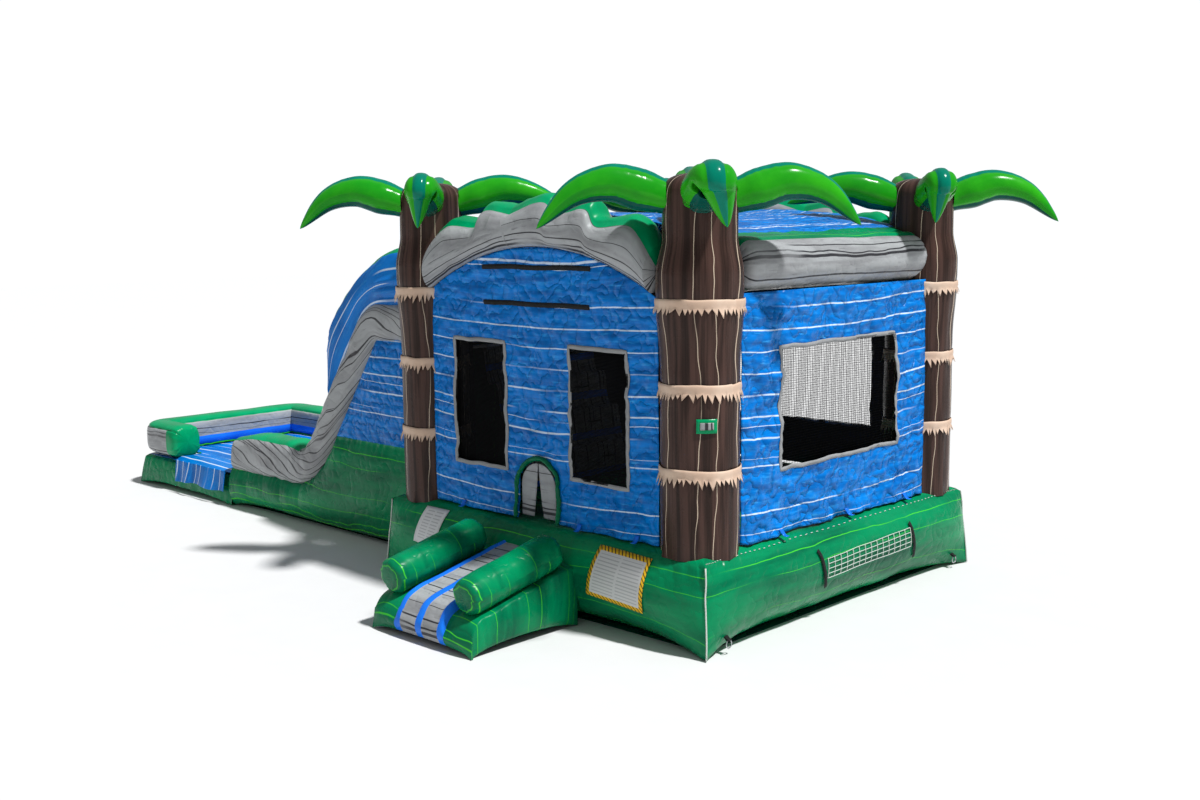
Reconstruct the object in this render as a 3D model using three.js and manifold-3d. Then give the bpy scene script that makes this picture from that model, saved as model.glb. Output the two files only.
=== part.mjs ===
// An inflatable bounce house with palm-tree columns, an entrance ramp, a slide and a landing pool.
// Millimetres. +X right along the house front, +Y to the back, +Z up.
// The origin is on the ground at the centre of the house's square footprint.
import * as THREE from "three";
import { mergeVertices } from "three/addons/utils/BufferGeometryUtils.js";
import Module from "manifold-3d";

const wasm = await Module();
wasm.setup();

// ---- Clearances and sheet thicknesses ----
const GAP = 0.5; // between pieces that are sewn or laid against each other
const SEW_GAP = 4; // between a sheet's edge and the tube that it is sewn to
const SKIN = 25; // wall of a hollow air chamber
const SHEET = 12; // wall and roof fabric
const MESH_SHEET = 6; // window netting
const GROUND_SHEET = 4;

// ---- House base ----
const HOUSE_WIDTH = 3960;
const HOUSE_DEPTH = 3960;
const BASE_HEIGHT = 770;
const BASE_TUBE = 700; // width of the base tubes around the bounce floor
const BASE_PULL_IN = 40; // how far the base's sides draw in at the ground

// ---- Palms ----
const TRUNK_INSET = 364; // trunk centre in from the base's sides
const TRUNK_RADIUS = 311;
const TRUNK_BULGE_OUT = 27; // how far the trunk swells where the beams meet it
const TRUNK_NECK_IN = 21; // how far it draws in at the fronds
const TRUNK_TOP = 3690;
const FROND_REACH = 1240; // tip, from the trunk's axis
const FROND_ROOT_HEIGHT = 380;
const FROND_ROOT_WIDTH = 340;
const FROND_ROOT_Z = 3500; // height of the root's centre
const FROND_RISE = 50; // how far a frond rises past its root
const OUTER_TIP_Z = 3350;
const INNER_TIP_Z = 3485; // the inner fronds lie on the roof

// ---- Beams and roof ----
const BEAM_UNDERSIDE = 2765;
const ARCH_RISE = 350; // crown of the arch above the beam's underside
const ARCH_TOP_END = 3080;
const ARCH_END_DROP = 120; // of the beam's top, inside the trunk
const ARCH_TOP_SHOULDER = 3320;
const ARCH_TOP_PEAK = 3460;
const ARCH_TOP_VALLEY = 3420;
const ARCH_TOP_CROWN = 3510;
const ARCH_TOP_SHARES = [0.81, 0.69, 0.45, 0.37, 0.16]; // of the way from the middle to the trunk's centre
const ARCH_BEAM_DEPTH = 400;
const ARCH_BEAM_INSET = 60; // front of the beam, in from the base's side
const SIDE_BEAM_RADIUS = 192;
const SIDE_BEAM_INSET = 300; // centre, in from the base's side
const SIDE_BEAM_ROUNDING = 80;
const ROOF_CROWN = 3395;

// ---- Walls and windows ----
const WALL_INSET = 153; // middle of a wall sheet, in from the base's side
const FRONT_WINDOW_INNER = 393; // from the house's middle
const FRONT_WINDOW_OUTER = 1046;
const FRONT_WINDOW_BOTTOM = 1182;
const FRONT_WINDOW_TOP = 2296;
const SIDE_WINDOW_WIDTH = 1748;
const SIDE_WINDOW_BOTTOM = 1311;
const SIDE_WINDOW_TOP = 2308;
const BACK_WINDOW_WIDTH = 1960;
const BACK_WINDOW_BOTTOM = 1240;
const BACK_WINDOW_TOP = 2450;
const LEFT_HEADER = 90; // wall over the way to the slide
const WINDOW_CLEARANCE = 1;

// ---- Door ----
const DOOR_WIDTH = 440;
const DOOR_HEIGHT = 510; // above the base
const DOOR_SILL = 20;
const DOOR_FLAP = 6;
const DOOR_CLEARANCE = 10;
const DOOR_SLIT = 8;

// ---- Entrance ramp ----
const RAMP_WIDTH = 1250;
const RAMP_LENGTH = 1180;
const RAMP_FRONT_HEIGHT = 270;
const RAMP_BACK_HEIGHT = 520;
const RAMP_NOSE = 60; // rounding of the ramp's front edge
const RAMP_LANE_WIDTH = 600;
const RAMP_LANE_RISE = 60;
const BOLSTER_RADIUS = 155;
const BOLSTER_LENGTH = 980;
const BOLSTER_SETBACK = 110; // of the bolster's front end, from the ramp's front

// ---- Slide ----
const SLIDE_FRONT_SETBACK = 560; // slide's front side, behind the house's front
const SLIDE_WIDTH = 2440;
const PLATFORM_HEIGHT = 2110;
const PLATFORM_LENGTH = 880;
const SLOPE_LENGTH = 1185; // along the ground
const SLIDE_LENGTH = 3790;
const RUNOUT_HEIGHT = 410;
const RAIL_WIDTH = 450;
const RAIL_HEIGHT = 410;
const UPPER_WALL_TOP = 3040;
const UPPER_WALL_FLAT = 600; // level stretch of the upper wall's top
const UPPER_WALL_REACH = 1750; // upper wall's far edge, from the house
const UPPER_WALL_EDGE = 2200; // top of the upper wall's upright far edge
const BED = 20;
const BED_CLEARANCE = 10;

// ---- Climbing wall, inside the house ----
const CLIMB_DEPTH = 760; // from the left wall into the house, at the floor
const CLIMB_STEPS = 4;
const CLIMB_STEP_OUT = 70;

// ---- Landing pool ----
const POOL_LENGTH = 2210;
const POOL_BASE_HEIGHT = 400;
const POOL_WALL = 380;
const POOL_WALL_HEIGHT = 400;
const POOL_CORNER = 150; // rounding of the pool walls' tops
const POOL_STUB_LENGTH = 930; // front wall, from the pool's far end
const FLAP_DROP = 300;
const FLAP_THICKNESS = 10;
const FLAP_CLEARANCE = 3;
const FLAP_SIDE_CLEARANCE = 60;

// ---- Small pieces ----
const POCKET_WIDTH = 1300;
const POCKET_HEIGHT = 170;
const POCKET_CENTRE_Z = 440;
const POCKET_CENTRE_Y = 195;
const POCKET_THICKNESS = 8;
const SLEEVE_RADIUS = 140;
const SLEEVE_WALL = 6;
const SLEEVE_LENGTH = 520;
const SLEEVE_X = -900;
const RING_RADIUS = 32;
const RING_WIRE = 5;
const RING_TOP = 120;
const RING_FROM_CORNER = 260;
const RING_STANDOFF = 12;

// ---- Places that follow from the sizes above ----
const FLOOR = GROUND_SHEET + GAP;
const HALF_WIDTH = HOUSE_WIDTH / 2;
const HALF_DEPTH = HOUSE_DEPTH / 2;
const TRUNK_X = HALF_WIDTH - TRUNK_INSET;
const TRUNK_Y = HALF_DEPTH - TRUNK_INSET;
const TRUNK_BULGE = TRUNK_RADIUS + TRUNK_BULGE_OUT;
const TRUNK_NECK = TRUNK_RADIUS - TRUNK_NECK_IN;
const BASE_TOP = BASE_HEIGHT + GAP;
const ARCH_HALF_SPAN = TRUNK_X - 0.5 * TRUNK_RADIUS;
const SLIDE_START = -HALF_WIDTH - GAP * 2;
const SLIDE_FRONT = -HALF_DEPTH + SLIDE_FRONT_SETBACK;
const SLIDE_BACK = SLIDE_FRONT + SLIDE_WIDTH;
const LANE_FRONT = SLIDE_FRONT + RAIL_WIDTH;
const LANE_BACK = SLIDE_BACK - RAIL_WIDTH;
const POOL_START = SLIDE_START - SLIDE_LENGTH - GAP * 2;
const POOL_END = POOL_START - POOL_LENGTH;
const POOL_RIM = POOL_BASE_HEIGHT + GAP;

const CORNERS = [
  ["front_left", -1, -1],
  ["front_right", 1, -1],
  ["back_right", 1, 1],
  ["back_left", -1, 1],
];
const COLORS = {
  green: 0x0a8a46,
  blue: 0x2f80e0,
  grey: 0x9a9c9e,
  brown: 0x55443c,
  lime: 0x46c81e,
  black: 0x151618,
  steel: 0xb8bcc0,
};
const model = new THREE.Group();

// ---- Helpers ----
function add(name, geometry, color, parent = model) {
  const metal = color === "steel";
  const material = new THREE.MeshStandardMaterial({
    color: COLORS[color],
    roughness: metal ? 0.3 : 0.35,
    metalness: metal ? 1 : 0,
  });
  const mesh = new THREE.Mesh(geometry, material);
  mesh.name = name;
  parent.add(mesh);
  return mesh;
}

function solidOf(geometry) {
  const bare = geometry.clone();
  bare.deleteAttribute("normal");
  bare.deleteAttribute("uv");
  const merged = mergeVertices(bare, 1e-4);
  return new wasm.Manifold(
    new wasm.Mesh({
      numProp: 3,
      vertProperties: new Float32Array(merged.attributes.position.array),
      triVerts: new Uint32Array(merged.index.array),
    }),
  );
}

function geometryOf(solid) {
  const { vertProperties, triVerts } = solid.getMesh();
  const geometry = new THREE.BufferGeometry();
  geometry.setAttribute("position", new THREE.BufferAttribute(vertProperties, 3));
  geometry.setIndex(new THREE.BufferAttribute(triVerts, 1));
  return geometry;
}

function box(x0, x1, y0, y1, z0, z1) {
  const geometry = new THREE.BoxGeometry(x1 - x0, y1 - y0, z1 - z0);
  return geometry.translate((x0 + x1) / 2, (y0 + y1) / 2, (z0 + z1) / 2);
}

// A shape drawn in X and Z, given depth along Y.
function extrudeXZ(shape, y0, y1, curveSegments = 6) {
  const depth = y1 - y0;
  const geometry = new THREE.ExtrudeGeometry(shape, { depth, bevelEnabled: false, curveSegments });
  return geometry.rotateX(Math.PI / 2).translate(0, y1, 0);
}

// A shape drawn in Y and Z, given depth along X.
function extrudeYZ(shape, x0, x1, curveSegments = 6) {
  const depth = x1 - x0;
  const geometry = new THREE.ExtrudeGeometry(shape, { depth, bevelEnabled: false, curveSegments });
  return geometry.rotateX(Math.PI / 2).rotateZ(Math.PI / 2).translate(x0, 0, 0);
}

function shapeOf(points) {
  return new THREE.Shape(points.map(([a, b]) => new THREE.Vector2(a, b)));
}

// An open line moved sideways to its left by a distance, with mitred corners.
function offsetLine(points, distance) {
  const normals = points.slice(1).map(([x, z], i) => {
    const dx = x - points[i][0];
    const dz = z - points[i][1];
    const length = Math.hypot(dx, dz);
    return [-dz / length, dx / length];
  });
  return points.map(([x, z], i) => {
    const before = normals[Math.max(i - 1, 0)];
    const after = normals[Math.min(i, normals.length - 1)];
    const share = 1 + before[0] * after[0] + before[1] * after[1];
    const nx = (before[0] + after[0]) / share;
    const nz = (before[1] + after[1]) / share;
    return [x + nx * distance, z + nz * distance];
  });
}

// An air chamber that is open at the bottom, where the ground sheet closes it.
function chamber(outer, inner) {
  return geometryOf(solidOf(outer).subtract(solidOf(inner)));
}

function cylinderZ(x, y, radius, z0, z1, segments = 32) {
  const geometry = new THREE.CylinderGeometry(radius, radius, z1 - z0, segments);
  return geometry.rotateX(Math.PI / 2).translate(x, y, (z0 + z1) / 2);
}

// ---- Ground sheet ----
function groundSheet() {
  const ramp = RAMP_WIDTH / 2;
  const outline = [
    [-ramp, -HALF_DEPTH - RAMP_LENGTH],
    [ramp, -HALF_DEPTH - RAMP_LENGTH],
    [ramp, -HALF_DEPTH],
    [HALF_WIDTH, -HALF_DEPTH],
    [HALF_WIDTH, HALF_DEPTH],
    [-HALF_WIDTH, HALF_DEPTH],
    [-HALF_WIDTH, SLIDE_BACK],
    [POOL_END, SLIDE_BACK],
    [POOL_END, SLIDE_FRONT],
    [-HALF_WIDTH, SLIDE_FRONT],
    [-HALF_WIDTH, -HALF_DEPTH],
    [-ramp, -HALF_DEPTH],
  ];
  const sheet = new THREE.ExtrudeGeometry(shapeOf(outline), {
    depth: GROUND_SHEET,
    bevelEnabled: false,
  });
  add("ground_sheet", sheet, "green");
}

// ---- House base: four mitred tubes around the bounce floor ----
function baseTubeSection() {
  const top = BASE_HEIGHT;
  const outside = [
    [BASE_PULL_IN, FLOOR],
    [0, 0.3 * top],
    [0, 0.62 * top],
    [0.3 * BASE_PULL_IN, 0.8 * top],
    [1.1 * BASE_PULL_IN, 0.93 * top],
    [3 * BASE_PULL_IN, top],
    [BASE_TUBE, top],
    [BASE_TUBE, FLOOR],
  ];
  const inside = offsetLine(outside, -SKIN);
  inside[0][1] = FLOOR;
  inside[inside.length - 1][1] = FLOOR;
  return [...outside, ...inside.reverse()];
}

// The section is (distance in from the house's side, height). Both ends are cut at 45 degrees.
function mitredTube(halfLength, halfAcross) {
  const geometry = new THREE.ExtrudeGeometry(shapeOf(baseTubeSection()), {
    depth: 1,
    bevelEnabled: false,
  });
  const position = geometry.attributes.position;
  for (let i = 0; i < position.count; i += 1) {
    const inset = position.getX(i);
    const end = position.getZ(i) > 0.5 ? 1 : -1;
    const reach = halfLength - inset - GAP;
    position.setXYZ(i, end * reach, inset - halfAcross, position.getY(i));
  }
  return geometry;
}

function houseBase() {
  const sides = [
    ["front", HALF_WIDTH, HALF_DEPTH, 0],
    ["right", HALF_DEPTH, HALF_WIDTH, Math.PI / 2],
    ["back", HALF_WIDTH, HALF_DEPTH, Math.PI],
    ["left", HALF_DEPTH, HALF_WIDTH, -Math.PI / 2],
  ];
  for (const [side, halfLength, halfAcross, turn] of sides) {
    add(`${side}_base_tube`, mitredTube(halfLength, halfAcross), "green").rotation.z = turn;
  }
  const x = HALF_WIDTH - BASE_TUBE - GAP * 2;
  const y = HALF_DEPTH - BASE_TUBE - GAP * 2;
  const outer = box(-x, x, -y, y, FLOOR, BASE_HEIGHT);
  const inner = box(SKIN - x, x - SKIN, SKIN - y, y - SKIN, -SKIN, BASE_HEIGHT - SKIN);
  add("bounce_floor", chamber(outer, inner), "green");
}

// ---- Palms ----
function trunkGeometry() {
  const height = TRUNK_TOP - BASE_TOP;
  const beam = BEAM_UNDERSIDE - BASE_TOP;
  const outside = [
    [TRUNK_RADIUS, 0],
    [TRUNK_RADIUS, 0.75 * beam],
    [TRUNK_BULGE, beam],
    [TRUNK_BULGE - 8, beam + 150],
    [TRUNK_NECK + 8, beam + 420],
    [TRUNK_NECK, height - 230],
    [0.93 * TRUNK_NECK, height - 120],
    [0.7 * TRUNK_NECK, height - 40],
    [0, height],
  ];
  const inside = [
    [0, height - 2 * SKIN],
    [TRUNK_NECK - 3 * SKIN, height - 230],
    [TRUNK_NECK - 2 * SKIN, beam],
    [TRUNK_RADIUS - SKIN, 0],
  ];
  const profile = [...inside, ...outside].map(([r, z]) => new THREE.Vector2(r, z));
  return new THREE.LatheGeometry(profile, 20).rotateX(Math.PI / 2);
}

// A frond drawn along +X from the trunk's axis. It thins to a round tip that droops to tipZ.
function frondGeometry(tipZ) {
  const root = TRUNK_NECK + SEW_GAP + 8;
  const spine = new THREE.CatmullRomCurve3([
    new THREE.Vector3(root, 0, FROND_ROOT_Z),
    new THREE.Vector3(root + 0.3 * FROND_REACH, 0, FROND_ROOT_Z + FROND_RISE),
    new THREE.Vector3(0.78 * FROND_REACH, 0, (FROND_ROOT_Z + FROND_RISE + tipZ) / 2 + 20),
    new THREE.Vector3(FROND_REACH, 0, tipZ),
  ]);
  const rings = 9;
  const geometry = new THREE.CylinderGeometry(1, 1, 1, 10, rings);
  const position = geometry.attributes.position;
  for (let i = 0; i < position.count; i += 1) {
    const t = position.getY(i) + 0.5;
    const centre = spine.getPoint(t);
    const along = spine.getTangent(t);
    const taper = Math.sqrt(Math.max(0.02, 1 - t ** 2.2)) * (1 - 0.25 * t);
    const side = (-position.getX(i) * taper * FROND_ROOT_WIDTH) / 2;
    const up = (position.getZ(i) * taper * FROND_ROOT_HEIGHT) / 2;
    const lean = t === 0 ? 0 : along.x;
    const rise = t === 0 ? 1 : Math.hypot(lean, along.z);
    const dx = t === 0 ? 0 : (-along.z / rise) * up;
    const dz = t === 0 ? up : (along.x / rise) * up;
    position.setXYZ(i, centre.x + dx, side, centre.z + dz);
  }
  return geometry;
}

function palms() {
  for (const [corner, sx, sy] of CORNERS) {
    const palm = new THREE.Group();
    palm.position.set(sx * TRUNK_X, sy * TRUNK_Y, 0);
    model.add(palm);
    add(`${corner}_palm_trunk`, trunkGeometry(), "brown", palm).position.z = BASE_TOP;
    for (const [name, dx, dy] of CORNERS) {
      const inner = dx === -sx && dy === -sy;
      const frond = frondGeometry(inner ? INNER_TIP_Z : OUTER_TIP_Z);
      add(`${corner}_palm_frond_${name}`, frond, "lime", palm).rotation.z = Math.atan2(dy, dx);
    }
  }
}

// ---- Beams and roof ----
function archLine(rise, halfSpan, z, segments = 12) {
  const radius = (halfSpan ** 2 + rise ** 2) / (2 * rise);
  const half = Math.asin(halfSpan / radius);
  return Array.from({ length: segments + 1 }, (_, i) => {
    const angle = -half + (2 * half * i) / segments;
    return [radius * Math.sin(angle), z + rise - radius * (1 - Math.cos(angle))];
  });
}

function clearOfTrunks(solid) {
  let left = solid;
  for (const [, sx, sy] of CORNERS) {
    const trunk = cylinderZ(sx * TRUNK_X, sy * TRUNK_Y, TRUNK_BULGE + SEW_GAP, 0, TRUNK_TOP);
    left = left.subtract(solidOf(trunk));
  }
  return left;
}

function archBeam(name, y0, y1) {
  const end = ARCH_HALF_SPAN;
  const heights = [
    ARCH_TOP_END,
    ARCH_TOP_SHOULDER,
    ARCH_TOP_SHOULDER,
    ARCH_TOP_PEAK,
    ARCH_TOP_VALLEY,
  ];
  const half = heights.map((z, i) => new THREE.Vector2(ARCH_TOP_SHARES[i] * TRUNK_X, z));
  half.unshift(new THREE.Vector2(end, ARCH_TOP_END - ARCH_END_DROP));
  const mirrored = half.map(({ x, y }) => new THREE.Vector2(-x, y)).reverse();
  const crown = new THREE.Vector2(0, ARCH_TOP_CROWN);
  const top = new THREE.SplineCurve([...half, crown, ...mirrored]);
  const outline = [
    ...archLine(ARCH_RISE, end, BEAM_UNDERSIDE),
    ...top.getPoints(36).map((p) => [p.x, p.y]),
  ];
  const beam = solidOf(extrudeXZ(shapeOf(outline), y0, y1));
  add(name, geometryOf(clearOfTrunks(beam)), "grey");
}

// A tube along Y whose ends are rounded over.
function sideBeam(length) {
  const half = length / 2;
  const end = [
    [0, 0],
    [SIDE_BEAM_RADIUS - SIDE_BEAM_ROUNDING, 0],
    [SIDE_BEAM_RADIUS - 0.3 * SIDE_BEAM_ROUNDING, 0.3 * SIDE_BEAM_ROUNDING],
    [SIDE_BEAM_RADIUS, SIDE_BEAM_ROUNDING],
  ];
  const profile = [
    ...end.map(([r, inset]) => [r, inset - half]),
    ...end.map(([r, inset]) => [r, half - inset]).reverse(),
  ];
  return new THREE.LatheGeometry(
    profile.map(([r, y]) => new THREE.Vector2(r, y)),
    18,
  );
}

function beamsAndRoof() {
  const outer = HALF_DEPTH - ARCH_BEAM_INSET;
  archBeam("front_arch_beam", -outer, ARCH_BEAM_DEPTH - outer);
  archBeam("back_arch_beam", outer - ARCH_BEAM_DEPTH, outer);

  const beamLength = 2 * (TRUNK_Y - TRUNK_BULGE - SEW_GAP);
  const beamZ = BEAM_UNDERSIDE + SIDE_BEAM_RADIUS;
  for (const [name, side] of [
    ["right_side_beam", 1],
    ["left_side_beam", -1],
  ]) {
    const beam = add(name, sideBeam(beamLength), "grey");
    beam.position.set(side * (HALF_WIDTH - SIDE_BEAM_INSET), 0, beamZ);
  }

  const eave = beamZ + SIDE_BEAM_RADIUS + GAP * 2;
  const reach = HALF_WIDTH - SIDE_BEAM_INSET;
  const under = archLine(ROOF_CROWN - SHEET - eave, reach, eave);
  const over = under.map(([x, z]) => [x, z + SHEET]).reverse();
  const halfLength = outer - ARCH_BEAM_DEPTH - SEW_GAP;
  const roof = solidOf(extrudeXZ(shapeOf([...under, ...over]), -halfLength, halfLength));
  add("roof_canopy", geometryOf(clearOfTrunks(roof)), "blue");
}

// ---- Wall sheets, window netting and door flaps ----
// Half the width of a wall sheet: it ends where it meets the trunks' widest part.
function wallReach(trunkCentre) {
  const off = TRUNK_INSET - WALL_INSET - SHEET / 2;
  return trunkCentre - Math.sqrt((TRUNK_BULGE + SEW_GAP) ** 2 - off ** 2) - SEW_GAP;
}

function doorShape(clearance) {
  const half = DOOR_WIDTH / 2 - clearance;
  const bottom = BASE_TOP + DOOR_SILL + clearance;
  const spring = BASE_TOP + DOOR_HEIGHT - DOOR_WIDTH / 2;
  const shape = new THREE.Path();
  shape.moveTo(-half, bottom);
  shape.lineTo(half, bottom);
  shape.lineTo(half, spring);
  shape.absarc(0, spring, half, 0, Math.PI, false);
  shape.closePath();
  return shape;
}

// The height of a line of (x, z) points at x.
function heightAt(line, x) {
  const i = line.findIndex(([a]) => a >= x);
  const [x0, z0] = line[i - 1];
  const [x1, z1] = line[i];
  return z0 + ((z1 - z0) * (x - x0)) / (x1 - x0);
}

function archedWall(reach) {
  const arch = archLine(ARCH_RISE, ARCH_HALF_SPAN, BEAM_UNDERSIDE);
  const inside = arch.filter(([x]) => Math.abs(x) < reach);
  const top = [[-reach, heightAt(arch, -reach)], ...inside, [reach, heightAt(arch, reach)]];
  const under = top.map(([x, z]) => [x, z - SEW_GAP]).reverse();
  return shapeOf([[-reach, BASE_TOP], [reach, BASE_TOP], ...under]);
}

// Windows are (name, x0, x1, z0, z1) in a wall along X, and each gets its netting.
function cutWindows(wall, y, windows) {
  const c = WINDOW_CLEARANCE;
  let left = wall;
  for (const [name, x0, x1, z0, z1] of windows) {
    left = left.subtract(solidOf(box(x0, x1, y - SHEET, y + SHEET, z0, z1)));
    const half = MESH_SHEET / 2;
    add(name, box(x0 + c, x1 - c, y - half, y + half, z0 + c, z1 - c), "black");
  }
  return left;
}

function frontAndBackWalls() {
  const reach = wallReach(TRUNK_X);
  const y = -HALF_DEPTH + WALL_INSET;
  const [inner, outer] = [FRONT_WINDOW_INNER, FRONT_WINDOW_OUTER];
  const [bottom, top] = [FRONT_WINDOW_BOTTOM, FRONT_WINDOW_TOP];
  const sheet = solidOf(extrudeXZ(archedWall(reach), y - SHEET / 2, y + SHEET / 2));
  const door = new THREE.Shape(doorShape(0).getPoints(10));
  const doorway = solidOf(extrudeXZ(door, y - SHEET, y + SHEET));
  const front = cutWindows(sheet.subtract(doorway), y, [
    ["front_left_window_net", -outer, -inner, bottom, top],
    ["front_right_window_net", inner, outer, bottom, top],
  ]);
  add("front_wall_sheet", geometryOf(front), "blue");

  const half = BACK_WINDOW_WIDTH / 2;
  const whole = solidOf(extrudeXZ(archedWall(reach), -y - SHEET / 2, -y + SHEET / 2));
  const back = cutWindows(whole, -y, [
    ["back_window_net", -half, half, BACK_WINDOW_BOTTOM, BACK_WINDOW_TOP],
  ]);
  add("back_wall_sheet", geometryOf(back), "blue");
}

function doorFlaps() {
  const y = -HALF_DEPTH + WALL_INSET;
  const leaf = new THREE.Shape(doorShape(DOOR_CLEARANCE).getPoints(10));
  const whole = solidOf(extrudeXZ(leaf, y - DOOR_FLAP / 2, y + DOOR_FLAP / 2));
  const top = BASE_TOP + DOOR_HEIGHT;
  for (const [name, x0, x1] of [
    ["left_door_flap", -DOOR_WIDTH, -DOOR_SLIT / 2],
    ["right_door_flap", DOOR_SLIT / 2, DOOR_WIDTH],
  ]) {
    const half = solidOf(box(x0, x1, y - DOOR_FLAP, y + DOOR_FLAP, 0, top));
    add(name, geometryOf(whole.intersect(half)), "grey");
  }
}

function sideWalls() {
  const reach = wallReach(TRUNK_Y);
  const x = HALF_WIDTH - WALL_INSET;
  const top = BEAM_UNDERSIDE - SEW_GAP;
  const half = SIDE_WINDOW_WIDTH / 2;
  const whole = solidOf(box(x - SHEET / 2, x + SHEET / 2, -reach, reach, BASE_TOP, top));
  const window = box(x - SHEET, x + SHEET, -half, half, SIDE_WINDOW_BOTTOM, SIDE_WINDOW_TOP);
  add("right_wall_sheet", geometryOf(whole.subtract(solidOf(window))), "blue");
  const c = WINDOW_CLEARANCE;
  const net = box(
    x - MESH_SHEET / 2,
    x + MESH_SHEET / 2,
    c - half,
    half - c,
    SIDE_WINDOW_BOTTOM + c,
    SIDE_WINDOW_TOP - c,
  );
  add("right_window_net", net, "black");

  // The left wall is open over the climbing wall, so it is two side strips and a header.
  const left = shapeOf([
    [-reach, BASE_TOP],
    [LANE_FRONT - SEW_GAP, BASE_TOP],
    [LANE_FRONT - SEW_GAP, top - LEFT_HEADER],
    [LANE_BACK + SEW_GAP, top - LEFT_HEADER],
    [LANE_BACK + SEW_GAP, BASE_TOP],
    [reach, BASE_TOP],
    [reach, top],
    [-reach, top],
  ]);
  add("left_wall_sheet", extrudeYZ(left, -x - SHEET / 2, -x + SHEET / 2), "blue");
}

// ---- Entrance ramp ----
function ramp() {
  const back = -HALF_DEPTH - GAP * 2;
  const front = -HALF_DEPTH - RAMP_LENGTH;
  const side = (rise) => {
    const shape = new THREE.Shape();
    shape.moveTo(front, FLOOR);
    shape.lineTo(back, FLOOR);
    shape.lineTo(back, RAMP_BACK_HEIGHT + rise);
    shape.lineTo(front + RAMP_NOSE, RAMP_FRONT_HEIGHT + rise);
    shape.quadraticCurveTo(front, RAMP_FRONT_HEIGHT + rise, front, RAMP_FRONT_HEIGHT - RAMP_NOSE);
    shape.closePath();
    return shape;
  };
  const lane = extrudeYZ(side(RAMP_LANE_RISE), -RAMP_LANE_WIDTH / 2, RAMP_LANE_WIDTH / 2);
  const body = solidOf(extrudeYZ(side(0), -RAMP_WIDTH / 2, RAMP_WIDTH / 2)).add(solidOf(lane));
  add("entrance_ramp", geometryOf(body), "green");

  const slope = Math.atan2(
    RAMP_BACK_HEIGHT - RAMP_FRONT_HEIGHT,
    RAMP_LENGTH - RAMP_NOSE - GAP * 2,
  );
  const lift = BOLSTER_RADIUS + GAP * 2;
  const middle = BOLSTER_SETBACK + (BOLSTER_LENGTH * Math.cos(slope)) / 2;
  const surface = RAMP_FRONT_HEIGHT + (middle - RAMP_NOSE) * Math.tan(slope);
  const bolsterX = (RAMP_LANE_WIDTH / 2 + RAMP_WIDTH / 2) / 2;
  for (const [name, x] of [
    ["left_ramp_bolster", -bolsterX],
    ["right_ramp_bolster", bolsterX],
  ]) {
    const straight = BOLSTER_LENGTH - 2 * BOLSTER_RADIUS;
    const bolster = new THREE.CapsuleGeometry(BOLSTER_RADIUS, straight, 4, 14);
    const mesh = add(name, bolster, "green");
    mesh.position.set(x, front + middle - lift * Math.sin(slope), surface + lift * Math.cos(slope));
    mesh.rotation.x = slope;
  }
}

// ---- Slide ----
// The slide's surface as (distance from the house, height), from the platform to the run-out.
function slideLine() {
  const foot = PLATFORM_LENGTH + SLOPE_LENGTH;
  const bend = 0.75;
  const path = new THREE.Path();
  path.moveTo(0, PLATFORM_HEIGHT);
  path.lineTo(PLATFORM_LENGTH, PLATFORM_HEIGHT);
  path.lineTo(
    PLATFORM_LENGTH + bend * SLOPE_LENGTH,
    PLATFORM_HEIGHT - bend * (PLATFORM_HEIGHT - RUNOUT_HEIGHT),
  );
  path.quadraticCurveTo(foot, RUNOUT_HEIGHT, foot + 0.35 * SLOPE_LENGTH, RUNOUT_HEIGHT);
  path.lineTo(SLIDE_LENGTH, RUNOUT_HEIGHT);
  return path.getPoints(4).map((p) => [p.x, p.y]);
}

const towardsPool = (points) => points.map(([d, z]) => [SLIDE_START - d, z]);

function slide() {
  const line = slideLine();
  const outline = [[0, FLOOR], ...line, [SLIDE_LENGTH, FLOOR]];
  const hollow = offsetLine(outline, -SKIN);
  hollow[0][1] = -SKIN;
  hollow[hollow.length - 1][1] = -SKIN;
  const outer = extrudeXZ(shapeOf(towardsPool(outline)), SLIDE_FRONT, SLIDE_BACK);
  const inner = extrudeXZ(shapeOf(towardsPool(hollow)), SLIDE_FRONT + SKIN, SLIDE_BACK - SKIN);
  add("slide_body", chamber(outer, inner), "green");

  const railFoot = offsetLine(line, GAP * 2);
  const railTop = offsetLine(line, RAIL_HEIGHT);
  const crossing = railTop.findIndex(([d, z]) => d > UPPER_WALL_REACH || z < PLATFORM_HEIGHT);
  const [d0, z0] = railTop[crossing - 1];
  const [d1, z1] = railTop[crossing];
  const wallFoot = z0 + ((z1 - z0) * (UPPER_WALL_REACH - d0)) / (d1 - d0);
  const crown = new THREE.QuadraticBezierCurve(
    new THREE.Vector2(UPPER_WALL_FLAT, UPPER_WALL_TOP),
    new THREE.Vector2(0.8 * UPPER_WALL_REACH, UPPER_WALL_TOP - 90),
    new THREE.Vector2(UPPER_WALL_REACH, UPPER_WALL_EDGE),
  );
  const wall = [
    ...railFoot,
    ...railTop.slice(crossing).reverse(),
    [UPPER_WALL_REACH, wallFoot],
    ...crown.getPoints(6).reverse().map((p) => [p.x, p.y]),
    [0, UPPER_WALL_TOP],
  ];
  const side = shapeOf(towardsPool(wall));
  add("slide_front_side_wall", extrudeXZ(side, SLIDE_FRONT, LANE_FRONT), "blue");
  add("slide_back_side_wall", extrudeXZ(side, LANE_BACK, SLIDE_BACK), "blue");

  const bedFoot = offsetLine(line, GAP * 2);
  const bedTop = offsetLine(line, GAP * 2 + BED).reverse();
  const bed = shapeOf(towardsPool([...bedFoot, ...bedTop]));
  add("slide_bed", extrudeXZ(bed, LANE_FRONT + BED_CLEARANCE, LANE_BACK - BED_CLEARANCE), "blue");
}

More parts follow.
